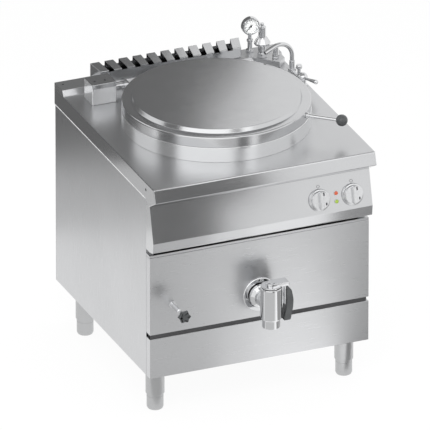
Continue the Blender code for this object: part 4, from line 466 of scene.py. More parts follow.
def brushed(look, name, roughness, stretch):
    """A folded sheet's steel with long fine lines."""
    return finish(name, look.steel_colour, roughness, metallic=1.0, stretch=stretch,
                  grain_scale=9.0, contrast=0.03, bump=look.grain_depth)


def sheet_finishes(look):
    """Steel of the folded sheets and of what is turned or hidden inside, and the near-white hem that
    paints a highlight under the skirt.
    """
    worktop = brushed(look, "worktop_steel", look.top_roughness, LINES_ACROSS)
    under_deck = DECK_Z - 0.0005
    return {
        "top": deck_blur(worktop, under_deck, look.deck_blur),
        "across": brushed(look, "panel_steel_across", look.brushed_roughness, LINES_ACROSS),
        "side": brushed(look, "side_steel", look.brushed_roughness, LINES_UPRIGHT),
        "comb": brushed(look, "comb_steel", 0.18, LINES_UPRIGHT),
        "face": brushed(look, "control_face_steel", look.face_roughness, LINES_ACROSS),
        # Near white and barely metallic: a painted highlight along the skirt's lower edge, not the
        # steel's own colour
        "hem": finish("hem_painted_highlight", (0.90, 0.90, 0.90), 0.45, metallic=0.2, stretch=BANDS_REARWARD,
                      grain_scale=30.0, contrast=0.02, bump=look.grain_depth / 4),
        "turned": finish("turned_steel", (0.82, 0.825, 0.83), look.turned_roughness, metallic=0.9,
                         stretch=TURNED_RINGS, grain_scale=12.0, rough_swing=0.12, contrast=0.02,
                         bump=look.grain_depth),
        "disc": finish("lid_steel", look.steel_colour, look.disc_roughness, metallic=1.0,
                       grain_scale=30.0, rough_swing=0.08, contrast=0.02, bump=look.grain_depth),
        "legs": finish("leg_steel", look.leg_colour, look.leg_roughness, metallic=1.0,
                       stretch=LEG_RINGS, grain_scale=14.0, rough_swing=0.12, contrast=0.02,
                       bump=look.grain_depth),
        "inside": finish("inside_steel", look.inside_colour, look.brushed_roughness, metallic=1.0,
                         grain_scale=20.0, bump=look.grain_depth),
        "dark": finish("dark_steel", (0.10, 0.10, 0.105), 0.40, metallic=0.8, grain_scale=200.0,
                       rough_swing=0.2, contrast=0.08, bump=0.00001, cloud_scale=40.0),
        "bronze": finish("bearing_bronze", (0.46, 0.33, 0.18), 0.38, metallic=1.0,
                         grain_scale=80.0, rough_swing=0.2, contrast=0.08, bump=0.00001,
                         cloud_scale=30.0),
    }


def bright_finishes(look):
    """Bright steel of the hinge, and the plating of the taps, valves and knobs."""
    bright = {"colour": look.chrome_colour, "roughness": look.bright_roughness,
              "stretch": BANDS_ACROSS, "grain_scale": 20.0, "rough_swing": 0.15,
              "contrast": 0.02, "bump": look.grain_depth / 2}
    return {
        "bright": finish("bright_steel", metallic=1.0, **bright),
        "tower": finish("tower_steel", metallic=0.65, **bright),
        "chrome": finish("chrome_plate", look.chrome_colour, look.chrome_roughness, metallic=1.0,
                         grain_scale=25.0, rough_swing=0.25, contrast=0.01,
                         bump=look.grain_depth / 8),
        "satin": finish("satin_chrome", look.chrome_colour, look.satin_roughness, metallic=1.0,
                        grain_scale=60.0, rough_swing=0.15, contrast=0.02,
                        bump=look.grain_depth / 4),
    }


def dull_finishes(look):
    """Plastic, the near-black painted shade of the gap between the panels, rubber, enamel, print, lenses
    and glass.
    """
    lens = {"roughness": 0.22, "metallic": 0.0, "grain_scale": 150.0, "rough_swing": 0.15,
            "contrast": 0.06, "bump": 0.000004, "cloud_scale": 60.0, "coat": 0.6}
    return {
        "black": finish("black_plastic", look.plastic_colour, look.plastic_roughness, metallic=0.0,
                        grain_scale=900.0, rough_swing=0.15, contrast=0.12, bump=0.00002,
                        cloud_scale=30.0),
        # Near black: painted shade for the gap between the front panel and the plinth
        "strip": finish("recess_painted_shade", (0.036, 0.036, 0.038), 0.6, metallic=0.0,
                        grain_scale=300.0, bump=0.000004, cloud_scale=20.0),
        "rubber": finish("seal_rubber", (0.06, 0.06, 0.062), 0.7, metallic=0.0, grain_scale=500.0,
                         contrast=0.1, bump=0.00003, cloud_scale=20.0),
        "enamel": finish("dial_enamel", look.dial_colour, 0.40, metallic=0.0, grain_scale=400.0,
                         contrast=0.02, cloud_scale=20.0),
        "ink": finish("dial_ink", (0.035, 0.035, 0.04), 0.55, metallic=0.0, grain_scale=300.0,
                      cloud_scale=20.0),
        "print": finish("panel_print", look.print_colour, 0.5, metallic=0.0, grain_scale=300.0,
                        cloud_scale=20.0),
        "orange": finish("orange_lens", look.orange_colour, **lens),
        "green": finish("green_lens", look.green_colour, **lens),
        "glass": glass("gauge_glass"),
    }


def wear(name):
    """The finish with a given name, made from the settings once."""
    if not FINISHES:
        look = bpy.context.scene.kettle_look
        for make in (sheet_finishes, bright_finishes, dull_finishes):
            FINISHES.update(make(look))
    return FINISHES[name]


# Pieces

def build_sheet():
    """Give the folded sheets and the hidden solids their finishes, leaving their shapes alone."""
    worn = (("top", ("worktop", "valve_platform")),
            ("side", ("left_side_panel", "right_side_panel")),
            ("across", ("front_panel", "plinth_panel", "cross_rail", "rear_panel")),
            ("face", ("control_panel",)),
            ("inside", ("base_tray", "steam_jacket", "heating_element", "drain_pipe", "steam_pipe")),
            ("bright", ("hinge_bracket", "lid_arm_left", "lid_arm_right")),
            ("tower", ("hinge_tower",)),
            ("comb", ("flue_comb",)),
            ("chrome", ("drain_plug",)),
            ("bronze", ("bush_inner",)),
            ("dark", ("balance_spring",)),
            ("rubber", ("lid_seal",)),
            ("ink", ("gauge_needle",)))
    for finish_name, nodes in worn:
        for node in nodes:
            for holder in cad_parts[node].material_slots:
                holder.material = wear(finish_name)


def build_seams(sizes):
    """Hems under the skirt, painted near white as a highlight along its lower edge, tabs at the cheeks,
    and a dark strip between the panels that paints the shade of the gap.

    A hem is a bar turned round a line that runs rearward. Tabs and strip are flat slabs.
    """
    skirt_front, skirt_low = -0.316, 0.8118
    half, rear, _ = (float(side) for side in span("worktop")[1])
    radius = sizes.hem_radius
    run = rear - skirt_front
    hem = filleted([(0, 0), (radius, 0), (radius, run), (0, run)], FINE)
    tab = rectangle(-0.345, -0.310, 0.786, 0.815)
    tab_x, tab_half = 0.3960, 0.0004
    edgeways = on_axes(REARWARD, UP, RIGHT)
    hems, tabs = [], []
    for side in (-1, 1):
        start = (side * (half - radius), skirt_front, skirt_low - radius)
        hems.append(lathe(hem, start, REARWARD, steps=24))
        tabs.append(slab(tab, low=side * tab_x - tab_half, high=side * tab_x + tab_half,
                         rim=0.0002, place=edgeways))
    # The hems carry a painted highlight: a near-white bar that reads as the bright lit line under the
    # skirt
    piece("skirt_hem_painted_highlight", hems, "hem", "cabinet")
    piece("cheek_tab", tabs, "side", "cabinet")
    # A near-black slab just behind the front face paints the shade of the gap between the front panel
    # and the plinth
    strip_low = span("plinth_panel")[1][2] + HAIR
    strip_high = span("front_panel")[0][2] - HAIR
    strip = rectangle(-0.3955, 0.3880, strip_low, strip_high)
    piece("recess_shade_strip", [slab(strip, low=FRONT_Y + 0.0015, high=FRONT_Y + 0.0025, rim=FINE,
                                place=on_axes(RIGHT, UP, REARWARD))],
          "strip", "cabinet")


def build_legs(sizes):
    """Sleeves and feet: radius against height, turned round each leg's own axis."""
    wall, roof = 0.0032, 0.0040
    groove, bevel = sizes.groove_depth, 0.0002
    groove_width, groove_round = 0.0012, 0.0001
    heel, heel_inset, tread, sole_inset = 0.010, 0.003, 0.003, 0.010
    for corner in ("front_left", "front_right", "rear_left", "rear_right"):
        low, high = span("leg_sleeve_" + corner)
        centre = at_height((low + high) / 2, 0.0)
        radius = float(high[0] - low[0]) / 2
        sleeve = filleted([(0, high[2]), (radius, high[2]), (radius, low[2]),
                           (radius - wall, low[2]), (radius - wall, high[2] - roof),
                           (0, high[2] - roof)], 0.0008)
        piece("sleeve_" + corner, [lathe(sleeve, centre)], "legs", "cabinet",
              ["leg_sleeve_" + corner])
        foot_low, foot_high = span("foot_" + corner)
        foot, foot_top = float(foot_high[0] - foot_low[0]) / 2, float(foot_high[2])
        line = low[2] - sizes.groove_drop
        cup = filleted([(0, foot_top), (foot, foot_top), (foot, line), (foot - groove, line - bevel),
                        (foot - groove, line - groove_width + bevel), (foot, line - groove_width),
                        (foot, heel), (foot - heel_inset, tread), (foot - sole_inset, 0.0), (0, 0.0)],
                       [HAIR] + [groove_round] * 4 + [0.005, 0.005, 0.003])
        piece("foot_cup_" + corner, [lathe(cup, centre)], "legs", "foot_" + corner,
              ["foot_" + corner])


def build_vessel():
    """Collar and vessel: closed sections of radius against height turned round the kettle."""
    wall = 0.003
    mouth = float(span("kettle_vessel")[1][0])
    inner = mouth - wall
    low, high = span("kettle_collar")
    outer, top, deck = float(high[0]), float(high[2]), float(low[2])
    collar = filleted([(inner, top), (outer, top), (outer, deck), (outer - wall, deck),
                       (outer - wall, top - wall), (inner, top - wall)],
                      [0.001, 0.0015, HAIR, HAIR, 0.0005, HAIR], True, 8)
    piece("mouth_collar", [lathe(collar, KETTLE, steps=240, ring=True)], "turned", "cabinet",
          ["kettle_collar"])
    base, brim = float(span("kettle_vessel")[0][2]), float(span("kettle_vessel")[1][2])
    floor, fall, corner = 0.488, 0.010, 0.070
    outlet = float(span("drain_pipe")[1][0])
    vessel = filleted([(mouth, brim), (mouth, floor + fall - wall), (outlet, floor - wall),
                       (outlet, base), (outlet - wall, base), (outlet - wall, floor),
                       (inner, floor + fall), (inner, brim)],
                      [HAIR, corner, 0.002, HAIR, HAIR, 0.002, corner - wall, HAIR], True, 14)
    piece("bowl", [lathe(vessel, KETTLE, steps=200, ring=True)], "turned", "cabinet",
          ["kettle_vessel"])


def build_lid(sizes):
    """Lid: skirt, rounded shoulder, flat rim, short steep step and raised disc, in one sheet."""
    low, high = span("lid")
    outer = float(high[0] - low[0]) / 2
    seam, crown = float(low[2]), float(high[2])
    sheet, disc, step = 0.0025, 0.281, 0.288
    rim = crown - 0.014
    shell = filleted([(0, crown), (disc, crown), (step, rim), (outer, rim), (outer, seam),
                      (outer - sheet, seam), (outer - sheet, rim - sheet),
                      (step - sheet, rim - sheet), (disc - sheet, crown - sheet),
                      (0, crown - sheet)],
                     [sizes.disc_round, 0.0025, 0.006, HAIR, HAIR, 0.0035, 0.001, 0.001], False, 8)
    piece("lid_shell", [lathe(shell, KETTLE, steps=240)], "disc", "lid_unit",
          ["lid"])
    middle = at_height(KETTLE, middle_of("lid_handle_rod")[2])
    root, boss, rod_end = outer + GAP, 0.0102, 0.435
    boss_end = root + 0.008
    rod = filleted([(0, root), (boss, root), (boss, boss_end), (0.006, boss_end + HAIR),
                    (0.006, rod_end), (0, rod_end)], [HAIR, 0.0012, 0.0015, HAIR])
    piece("handle_rod", [lathe(rod, middle, HANDLE_OUT, 48)], "chrome", "lid_unit",
          ["lid_handle_rod"])
    piece("handle_ball", [ball(middle + HANDLE_ARM, 0.020, HANDLE_OUT, 64)], "black",
          "lid_unit", ["lid_handle_ball"])


def build_hinge():
    """Tower cover with its lip and screws, the sleeve round the axle, the axle and the pin."""
    sheet = 0.0015
    low, high = span("tower_cover")
    tower_low, tower_high = span("hinge_tower")
    top, seat = high[2] - sheet, tower_high[2] + GAP
    section = filleted([(low[1], low[2]), (low[1] + sheet, low[2]), (low[1] + sheet, seat),
                        (high[1], seat), (high[1], top), (low[1], top)],
                       [0.0005, 0.0005, FINE, 0.0008, 0.0010, 0.0020], True)
    piece("cover_plate", [slab(section, low[0], high[0], FINE, on_axes(REARWARD, UP, RIGHT))],
          "comb", "cabinet", ["tower_cover"])
    head = filleted([(0, 0.0005), (0.0017, 0.0005), (0.0017, 0.0015), (0.0030, 0.0015),
                     (0.0042, 0.0006), (0.0042, 0), (0, 0)], FINE)
    screw_y = tower_low[1] + 0.36 * (tower_high[1] - tower_low[1])
    heads = [lathe(head, (low[0] + (high[0] - low[0]) * share, screw_y, top), steps=36)
             for share in (0.22, 0.65)]
    piece("cover_screws", heads, "dark", "cabinet")
    left, right = (float(end[0]) for end in span("bush_outer"))
    face = float(tower_high[0]) + GAP
    bore, tube, washer, washer_end = 0.0103, 0.014, 0.016, face + 0.002
    sleeve = filleted([(bore, left), (tube, left), (tube, face), (washer, face),
                       (washer, washer_end), (tube, washer_end), (tube, right), (bore, right)],
                      0.0005, True)
    piece("axle_sleeve", [lathe(sleeve, HINGE, RIGHT, 72, ring=True)], "bright", "cabinet",
          ["bush_outer"])
    for name, node in (("axle_bar", "hinge_axle"), ("pin_bar", "hinge_pin")):
        start, end = (float(corner[0]) for corner in span(node))
        radius = float(span(node)[1][2] - HINGE[2])
        bar = filleted([(0, start), (radius, start), (radius, end), (0, end)], 0.001)
        piece(name, [lathe(bar, HINGE, RIGHT, 64)], "chrome", "lid_unit", [node])


def build_controls():
    """Knobs, their index rings and the lamps, turned round lines square to the control face."""
    cap = filleted([(0, 0.0170), (0.0312, 0.0170), (0.0325, 0.0088), (0.0370, 0.0078),
                    (0.0385, 0.0015), (0.0385, 0.0), (0, 0.0)],
                   [0.0020, 0.0010, 0.0020, 0.0020, HAIR])
    grip = oval(0.0065, 0.0295, 0.0060, 10)
    ticks = (oval(0.0036, 0.0062, 0.0020) + np.array([0.0110, 0.0205]),
             oval(0.0026, 0.0050, 0.0020) + np.array([0.0190, -0.0140]))
    ring = rectangle(0.0044, 0.0056, 0.0, 0.00015)
    ring_down = KNOB_DOWN - 0.046
    for name in ("heat", "switch"):
        x = middle_of(name + "_knob")[0]
        base = on_panel(x, KNOB_DOWN)
        face = on_axes(RIGHT, PANEL_UP, PANEL_OUT, base)
        piece(name + "_dial", [lathe(cap, base, PANEL_OUT, 120)], "satin", name + "_knob",
              [name + "_knob"])
        piece(name + "_grip", [slab(grip, low=0.012, high=0.028, rim=0.0022, place=face)],
              "satin", name + "_knob")
        piece(name + "_tick", [slab(tick, low=0.0165, high=0.0173, rim=0.0002, place=face)
                               for tick in ticks],
              "ink", name + "_knob")
        piece(name + "_index", [lathe(ring, on_panel(x, ring_down), PANEL_OUT, 64, ring=True)],
              "print", "cabinet")
    angle = np.linspace(0, math.pi / 2, 10)
    radius, wall, crown = 0.0066, 0.0012, 0.0030
    dome = np.stack([radius * np.sin(angle), wall + crown * np.cos(angle)], -1)
    lens = np.concatenate([dome, [(radius, 0.0), (0.0, 0.0)]])
    bezel = filleted([(radius, 0.0), (0.0082, 0.0), (0.0080, 0.0013), (radius, 0.0013)], HAIR, True)
    for name, down in LAMPS_DOWN:
        spot = on_panel(middle_of(name + "_lamp")[0], down)
        piece(name + "_lens", [lathe(lens, spot, PANEL_OUT, 48)], name, "cabinet",
              [name + "_lamp"])
        piece(name + "_bezel", [lathe(bezel, spot, PANEL_OUT, 48, ring=True)], "chrome",
              "cabinet")


def build_tap_body():
    """Round wall plate with a raised rim, and the tap's body and flange."""
    wall = np.array([TAP[0], FRONT_Y, TAP_Z])
    bore, rim = 0.0243, float(span("drain_escutcheon")[1][0])
    plate = filleted([(bore, GAP), (rim, GAP), (rim, 0.0035), (rim - 0.0025, 0.0060),
                      (0.0455, 0.0060), (0.0445, 0.0025), (bore, 0.0025)],
                     [HAIR, HAIR, 0.002, 0.002, 0.001, 0.0005, HAIR], True, 6)
    piece("wall_plate", [lathe(plate, wall, FORWARD, 144, ring=True)], "chrome", "cabinet",
          ["drain_escutcheon"])
    low, high = span("drain_tap_body")
    top, outlet = float(high[2]), float(low[2])
    plug_room, body_radius, waist, nozzle = 0.0253, 0.0366, 0.0315, 0.0300
    body = filleted([(plug_room, top), (body_radius, top), (body_radius, 0.3575),
                     (waist + 0.001, 0.3520), (waist, 0.3530), (waist, 0.3510), (nozzle, 0.3500),
                     (nozzle, outlet), (plug_room, outlet)],
                    [HAIR, 0.004, 0.002, HAIR, HAIR, HAIR, HAIR, 0.002, HAIR], True, 6)
    start, flange_radius, barrel, barrel_end = 0.0063, 0.042, 0.029, 0.0775
    flange = filleted([(0, start), (flange_radius, start), (flange_radius, start + 0.014),
                       (barrel + 0.005, start + 0.020), (barrel, start + 0.024),
                       (barrel, barrel_end), (0, barrel_end)],
                      [0.0008, 0.005, 0.004, 0.006, 0.001], False, 8)
    piece("tap_body", [lathe(body, TAP, steps=144, ring=True), lathe(flange, wall, FORWARD, 144)],
          "chrome", "cabinet", ["drain_tap_body"])


def build_set_screw():
    """A small screw with a hole in its head, near the top of the tap's body."""
    turn = math.radians(-102)
    aim = RIGHT * math.cos(turn) + REARWARD * math.sin(turn)
    screw = filleted([(0, 0.0361), (0.0012, 0.0361), (0.0012, 0.0368), (0.0026, 0.0366),
                      (0.0026, 0.0350), (0, 0.0350)], 0.0002)
    top = span("drain_tap_body")[1][2]
    piece("set_screw", [lathe(screw, at_height(TAP, top - 0.0045), aim, 32)], "dark", "cabinet")


def grip_sides(depths):
    """Inner and outer side of the grip at some depths, as shares of its length, and the heights.

    The grip's middle and half width follow the depth through a few chosen places.
    """
    low, top = (float(corner[2]) for corner in span("drain_grip"))
    share = np.linspace(0, 1, 13)
    sections = np.array([(0.00, 0.0580, 0.0085), (0.15, 0.0605, 0.0105), (0.35, 0.0625, 0.0120),
                         (0.60, 0.0605, 0.0125), (0.80, 0.0560, 0.0125), (1.00, 0.0515, 0.0125)])
    middle = np.interp(share, sections[:, 0], sections[:, 1])
    half = np.interp(share, sections[:, 0], sections[:, 2])
    heights = top - depths * (top - low)
    return np.interp(depths, share, middle - half), np.interp(depths, share, middle + half), heights


def build_tap_arm():
    """Arm over the tap with its cover, boss and eye, and a strap down the grip's inner side."""
    hub_z = float(span("drain_arm")[1][2]) - 0.014
    sheet = 0.004
    inner, _, heights = grip_sides(np.linspace(0, 0.5, 13))
    run = np.stack([inner - GAP, heights], -1)
    bend = float(run[0, 0]) - 0.002
    outer_line = np.concatenate([[(0.0, hub_z + 0.0090), (bend, hub_z + 0.0085)], run])
    inner_line = np.concatenate([[(0.0, hub_z + 0.0090 - sheet),
                                  (bend - sheet, hub_z + 0.0085 - sheet)],
                                 run - np.array([sheet, 0.0])])
    strap = filleted(np.concatenate([outer_line, inner_line[::-1]]), 0.004, True, 6)
    half_width, arm_end, thickness = 0.0195, 0.0585, 0.014
    bow = np.linspace(math.pi / 2, math.pi * 1.5, 40)
    round_end = half_width * np.stack([np.cos(bow), np.sin(bow)], -1)
    square_end = filleted([(0.0, -half_width), (arm_end, -half_width), (arm_end, half_width),
                           (0.0, half_width)], 0.003)[1:-1]
    plan = np.concatenate([round_end, square_end])
    hub = at_height(TAP, hub_z)
    cover = filleted([(0, 0.0060), (0.0345, 0.0050), (0.0345, 0.0), (0, 0.0)],
                     [0.0040, 0.0005], False, 8)
    boss = filleted([(0, 0.0152), (0.012, 0.0150), (0.017, 0.0135), (0, 0.0130)], 0.002)
    eye = filleted(rectangle(0.0022, 0.0052, 0.0130, 0.0152), 0.0005, True)
    eye_spot = hub + np.array([-0.0125, 0.0040, 0.0])
    upright = on_axes(RIGHT, UP, REARWARD, TAP)
    piece("tap_arm", [slab(plan, low=0.0, high=thickness, rim=0.0022,
                           place=on_axes(RIGHT, REARWARD, UP, hub)),
                      lathe(cover, hub, steps=120),
                      slab(strap, low=-0.011, high=0.011, rim=0.0008, place=upright),
                      lathe(boss, hub), lathe(eye, eye_spot, steps=40, ring=True)],
          "chrome", "drain_handle", ["drain_arm"])


def build_tap_grip(sizes):
    """The handle's black grip: its outline pushed from back to front."""
    inner, outer, heights = grip_sides(np.linspace(0, 1, 13))
    grip = filleted(np.concatenate([np.stack([outer, heights], -1),
                                    np.stack([inner, heights], -1)[::-1]]), 0.004, True, 6)
    piece("tap_grip", [slab(grip, low=-0.018, high=0.015, rim=sizes.grip_round,
                            place=on_axes(RIGHT, UP, REARWARD, TAP))],
          "black", "drain_handle", ["drain_grip"])


def build_drain(sizes):
    """Drain tap: the body on the front panel, and the arm and grip that turn on it."""
    build_tap_body()
    build_tap_arm()
    build_set_screw()
    build_tap_grip(sizes)


def build_level(sizes):
    """Level tap: hexagon nut, stem and a knob of six lobes, r = R - d |sin 3t|."""
    across = on_axes(RIGHT, UP, FORWARD, LEVEL)
    thin, thick, tip, tail = 0.0050, 0.0080, 0.1027, -0.0320
    stem = filleted([(0, tip), (thin, tip), (thin, 0.0695), (thick, 0.0665), (thick, tail),
                     (0, tail)], 0.0008)
    nut = slab(hexagon(0.0235), low=GAP, high=0.012, rim=0.0010, place=across)
    piece("level_stem", [lathe(stem, LEVEL, FORWARD, 64), nut], "chrome", "cabinet",
          ["level_tap_stem"])
    angle = np.arange(120) * (math.tau / 120)
    radius = 0.0225 - sizes.lobe_depth * np.abs(np.sin(3 * angle))
    star = np.stack([radius * np.cos(angle), radius * np.sin(angle)], -1)
    knob_back, knob_front = 0.1030, 0.1190
    cap_radius, cap_low, cap_high = 0.0085, knob_front - 0.0005, knob_front + 0.0002
    cap = filleted([(0, cap_high), (cap_radius, cap_high), (cap_radius, cap_low), (0, cap_low)], FINE)
    piece("level_knob", [slab(star, low=knob_back, high=knob_front, rim=0.0035, place=across),
                         lathe(cap, LEVEL, FORWARD, 48)],
          "black", "level_knob", ["level_tap_knob"])


def build_gauge():
    """Gauge: case with its stem and nut, dial, ticks round three quarters of a turn, and glass."""
    ring, lip = 0.0315, 0.0262
    case = filleted([(0, 0), (lip, 0), (lip, 0.0088), (0.0285, 0.0100), (ring, 0.0065),
                     (ring, -0.0130), (0, -0.0140)],
                    [HAIR, 0.0006, 0.0016, 0.003, 0.004], False, 8)
    under = at_height(GAUGE + REARWARD * 0.0065, float(span("gauge_case")[0][2]))
    thin, waist, collar = 0.0064, 0.0080, 0.0108
    stem = filleted([(0, 0.069), (thin, 0.069), (thin, 0.045), (collar, 0.045), (collar, 0.038),
                     (waist, 0.038), (waist, 0.008), (0, 0.008)], 0.0006)
    nut = slab(hexagon(0.0235, 0.3), low=0.0, high=0.009, rim=0.0008,
               place=on_axes(RIGHT, REARWARD, UP, under))
    piece("gauge_shell", [lathe(case, GAUGE, FORWARD, 120), lathe(stem, under, steps=48), nut],
          "chrome", "cabinet", ["gauge_case"])
    face_low, face_high = 0.0003, 0.0013
    face = [(0, face_high), (0.0258, face_high), (0.0260, face_low), (0, face_low)]
    piece("gauge_face", [lathe(face, GAUGE, FORWARD)], "enamel", "cabinet",
          ["gauge_dial"])
    count, every = 31, 5
    angle = np.radians(225 - np.linspace(0, 270, count))
    long = np.arange(count) % every == 0
    inner = np.where(long, 0.0165, 0.0195)[:, None]
    half = np.where(long, 0.0009, 0.0004)[:, None]
    outer = 0.0245
    flat = np.zeros(count)
    way = np.stack([np.cos(angle), flat, np.sin(angle)], -1)
    side = np.stack([-np.sin(angle), flat, np.cos(angle)], -1)
    front = GAUGE + FORWARD * (face_high + 0.0001)
    corners = np.stack([front + way * inner - side * half, front + way * inner + side * half,
                        front + way * outer + side * half, front + way * outer - side * half], 1)
    marks = corners.reshape(-1, 3), np.arange(count * 4).reshape(count, 4).tolist()
    piece("gauge_marks", [marks], "ink", "cabinet")
    pane_radius, pane_low, pane_high = 0.0260, 0.0065, 0.0080
    pane = filleted([(0, pane_high), (pane_radius, pane_high), (pane_radius, pane_low),
                     (0, pane_low)], 0.0002)
    window = piece("gauge_window", [lathe(pane, GAUGE, FORWARD)], "glass", "cabinet",
                   ["gauge_glass"])
    window.visible_shadow = False


def build_safety_valve():
    """Safety valve: hexagon, neck, fluted bell, knurled barrel and a small cap on a stalk."""
    base = slab(hexagon(0.032, 0.15), low=0.0, high=0.016, rim=0.0010,
                place=on_axes(RIGHT, REARWARD, UP, SAFETY))
    neck_radius, barrel_radius = 0.0136, 0.0130
    neck = filleted([(0, 0.046), (neck_radius, 0.046), (neck_radius, 0.015), (0, 0.015)], 0.0008)
    bell = filleted([(0, 0.075), (0.0135, 0.0748), (0.0175, 0.070), (0.0270, 0.053),
                     (0.0262, 0.046), (0, 0.044)], [0.002, 0.006, 0.004, 0.002], False, 8)
    barrel = filleted([(0, 0.111), (barrel_radius, 0.111), (barrel_radius, 0.0745), (0, 0.0745)],
                      0.0014)
    cap = filleted([(0, 0.124), (0.0055, 0.124), (0.0065, 0.122), (0.0065, 0.1155),
                    (0.0036, 0.1140), (0.0036, 0.1105), (0, 0.1105)], 0.0008)
    flutes = (0.045, 10, 0.0465, 0.0725)
    knurl = (0.024, 30, 0.0770, 0.1085)
    piece("safety_body", [base, lathe(neck, SAFETY, steps=64),
                          lathe(bell, SAFETY, steps=240, lobes=flutes),
                          lathe(barrel, SAFETY, steps=240, lobes=knurl),
                          lathe(cap, SAFETY, steps=48)],
          "chrome", "cabinet", ["safety_valve"])


def build_vent_valve():
    """Vent valve: a hexagon and a stepped stem."""
    base = slab(hexagon(0.0205, 0.4), low=0.0, high=0.013, rim=0.0008,
                place=on_axes(RIGHT, REARWARD, UP, VENT))
    stem = filleted([(0, 0.0500), (0.0056, 0.0500), (0.0056, 0.0435), (0.0093, 0.0420),
                     (0.0093, 0.0120), (0, 0.0120)], 0.0008)
    piece("vent_body", [base, lathe(stem, VENT, steps=64)], "chrome", "cabinet",
          ["vent_valve"])


def build_valves():
    """What stands on the valve platform."""
    build_gauge()
    build_safety_valve()
    build_vent_valve()


def build_mixer_body(sizes):
    """Mixer's body: a barrel along the edge, the spout's foot, nut and neck, stem and stub."""
    deck = DECK_Z - MIXER[2]
    barrel_radius, barrel_low, barrel_high = 0.0102, 0.004, 0.106
    rear = MIXER + REARWARD * 0.018 + UP * sizes.mixer_drop
    barrel = filleted([(0, barrel_low), (barrel_radius, barrel_low), (barrel_radius, barrel_high),
                       (0, barrel_high)], 0.0020)
    foot = filleted([(0, -0.0040), (0.0118, -0.0040), (0.0118, -0.0225), (SPOUT_FOOT, -0.0240),
                     (SPOUT_FOOT, deck), (0, deck)], 0.0010)
    nut = slab(hexagon(0.0270, 0.2), low=-0.0200, high=-0.0030, rim=0.0012,
               place=on_axes(RIGHT, REARWARD, UP, MIXER))
    neck = filleted([(0, 0.0208), (0.0098, 0.0208), (0.0098, -0.0040), (0, -0.0040)], 0.0010)
    stem = filleted([(0, -0.0080), (0.0135, -0.0080), (0.0135, -0.0235), (0.0180, -0.0245),
                     (0.0180, deck), (0, deck)], 0.0010)
    stub = filleted([(0, 0.0199), (0.0060, 0.0199), (0.0060, -0.0180), (0, -0.0180)], 0.0006)
    piece("mixer_shell", [lathe(barrel, rear, FORWARD, 72), lathe(foot, MIXER, steps=72), nut,
                          lathe(neck, MIXER, steps=72), lathe(stem, LEVER, steps=72),
                          lathe(stub, STUB, steps=48)],
          "chrome", "cabinet", ["mixer_body"])


def build_spout():
    """Swan neck: a tube that rises, bends through a round arc and runs down to its mouth.

    The arc is centre - bend cos t out + bend sin t up, until it points dip below level.
    """
    heading, dip = math.radians(193), math.radians(17.5)
    bend, reach = 0.056, 0.113
    tube, bore = 0.0075, 0.0055
    out = RIGHT * math.cos(heading) + REARWARD * math.sin(heading)
    base = at_height(MIXER, span("swivel_spout")[0][2])
    angle = np.linspace(0, math.pi / 2 + dip, 40)[:, None]
    centre = at_height(MIXER, 0.939) + out * bend
    curve = centre - out * (bend * np.cos(angle)) + UP * (bend * np.sin(angle))
    arm = out * math.cos(dip) - UP * math.sin(dip)
    travelled = float((curve[-1] - MIXER) @ out)
    rest = (reach - travelled) / math.cos(dip)
    tail = curve[-1] + arm * np.linspace(0, rest, 8)[1:, None]
    path = np.concatenate([np.linspace(base, curve[0], 6)[:-1], curve, tail])
    across = np.cross(out, UP)
    outside = piped(path, across, tube, 32)
    inside = piped(path[::-1], across, bore, 32)[:, ::-1]
    cuff = filleted(rectangle(0.0056, 0.0096, 0, 0.0045), 0.0008, True)
    piece("swan_neck", [skin(np.concatenate([outside, inside]), closed=True),
                        lathe(cuff, base, steps=64, ring=True)],
          "chrome", "spout", ["swivel_spout"])


def build_mixer_handles():
    """Ball lever, whose rod swells towards a rounded tip, and the fluted second knob."""
    rise = math.radians(16)
    along = FORWARD * math.cos(rise) + UP * math.sin(rise)
    root, rod_length, thin, thick, tip = 0.009, 0.115, 0.0036, 0.0075, 0.003
    share = np.linspace(0, 1, 24)
    rod = np.stack([thin + (thick - thin) * share ** 1.5, root + rod_length * share], -1)
    angle = np.linspace(0, math.pi / 2, 8)[1:]
    end = np.stack([thick * np.cos(angle), root + rod_length + tip * np.sin(angle)], -1)
    bar = np.concatenate([[(0, root)], rod, end])
    piece("mixer_lever", [ball(LEVER, LEVER_BALL, along, 64), lathe(bar, LEVER, along, 48)],
          "chrome", "lever", ["tap_lever"])
    knob = filleted([(0, 0.015), (0.0085, 0.015), (0.010, 0.012), (0.010, 0.003), (0.0085, 0),
                     (0, 0)], 0.0008)
    flutes = (0.03, 16, 0.0025, 0.0125)
    piece("mixer_knob_cap", [lathe(knob, at_height(STUB, span("tap_knob")[0][2]), steps=144,
                                   lobes=flutes)],
          "chrome", "mixer_knob", ["tap_knob"])


def build_mixer(sizes):
    """Water mixer: body, swan neck, ball lever and the second knob."""
    build_mixer_body(sizes)
    build_spout()
    build_mixer_handles()


# Stage

# Where the camera looks, and the direction from there back to the camera
CAMERA_TARGET = np.array([0.0049, 0.0513, 0.5134])
CAMERA_BACK = np.array([-0.3466, -0.8340, 0.4296])
SENSOR = 36.0
LAMP_AIM = (0, 0, 0.5)


def flat_board(name, corners, strength):
    """A grey board that only reflections see."""
    mesh = bpy.data.meshes.new(name)
    mesh.from_pydata([tuple(corner) for corner in corners], [], [tuple(range(len(corners)))])
    board = bpy.data.objects.new(name, mesh)
    bpy.context.scene.collection.objects.link(board)
    material, _, shader = graph(name)
    shader.inputs["Base Color"].default_value = (0, 0, 0, 1)
    shader.inputs["Specular IOR Level"].default_value = 0.0
    shader.inputs["Emission Color"].default_value = (1, 1, 1, 1)
    shader.inputs["Emission Strength"].default_value = strength
    mesh.materials.append(material)
    board.visible_camera = False
    board.visible_diffuse = False
    board.visible_shadow = False
    board.visible_transmission = False
    return board


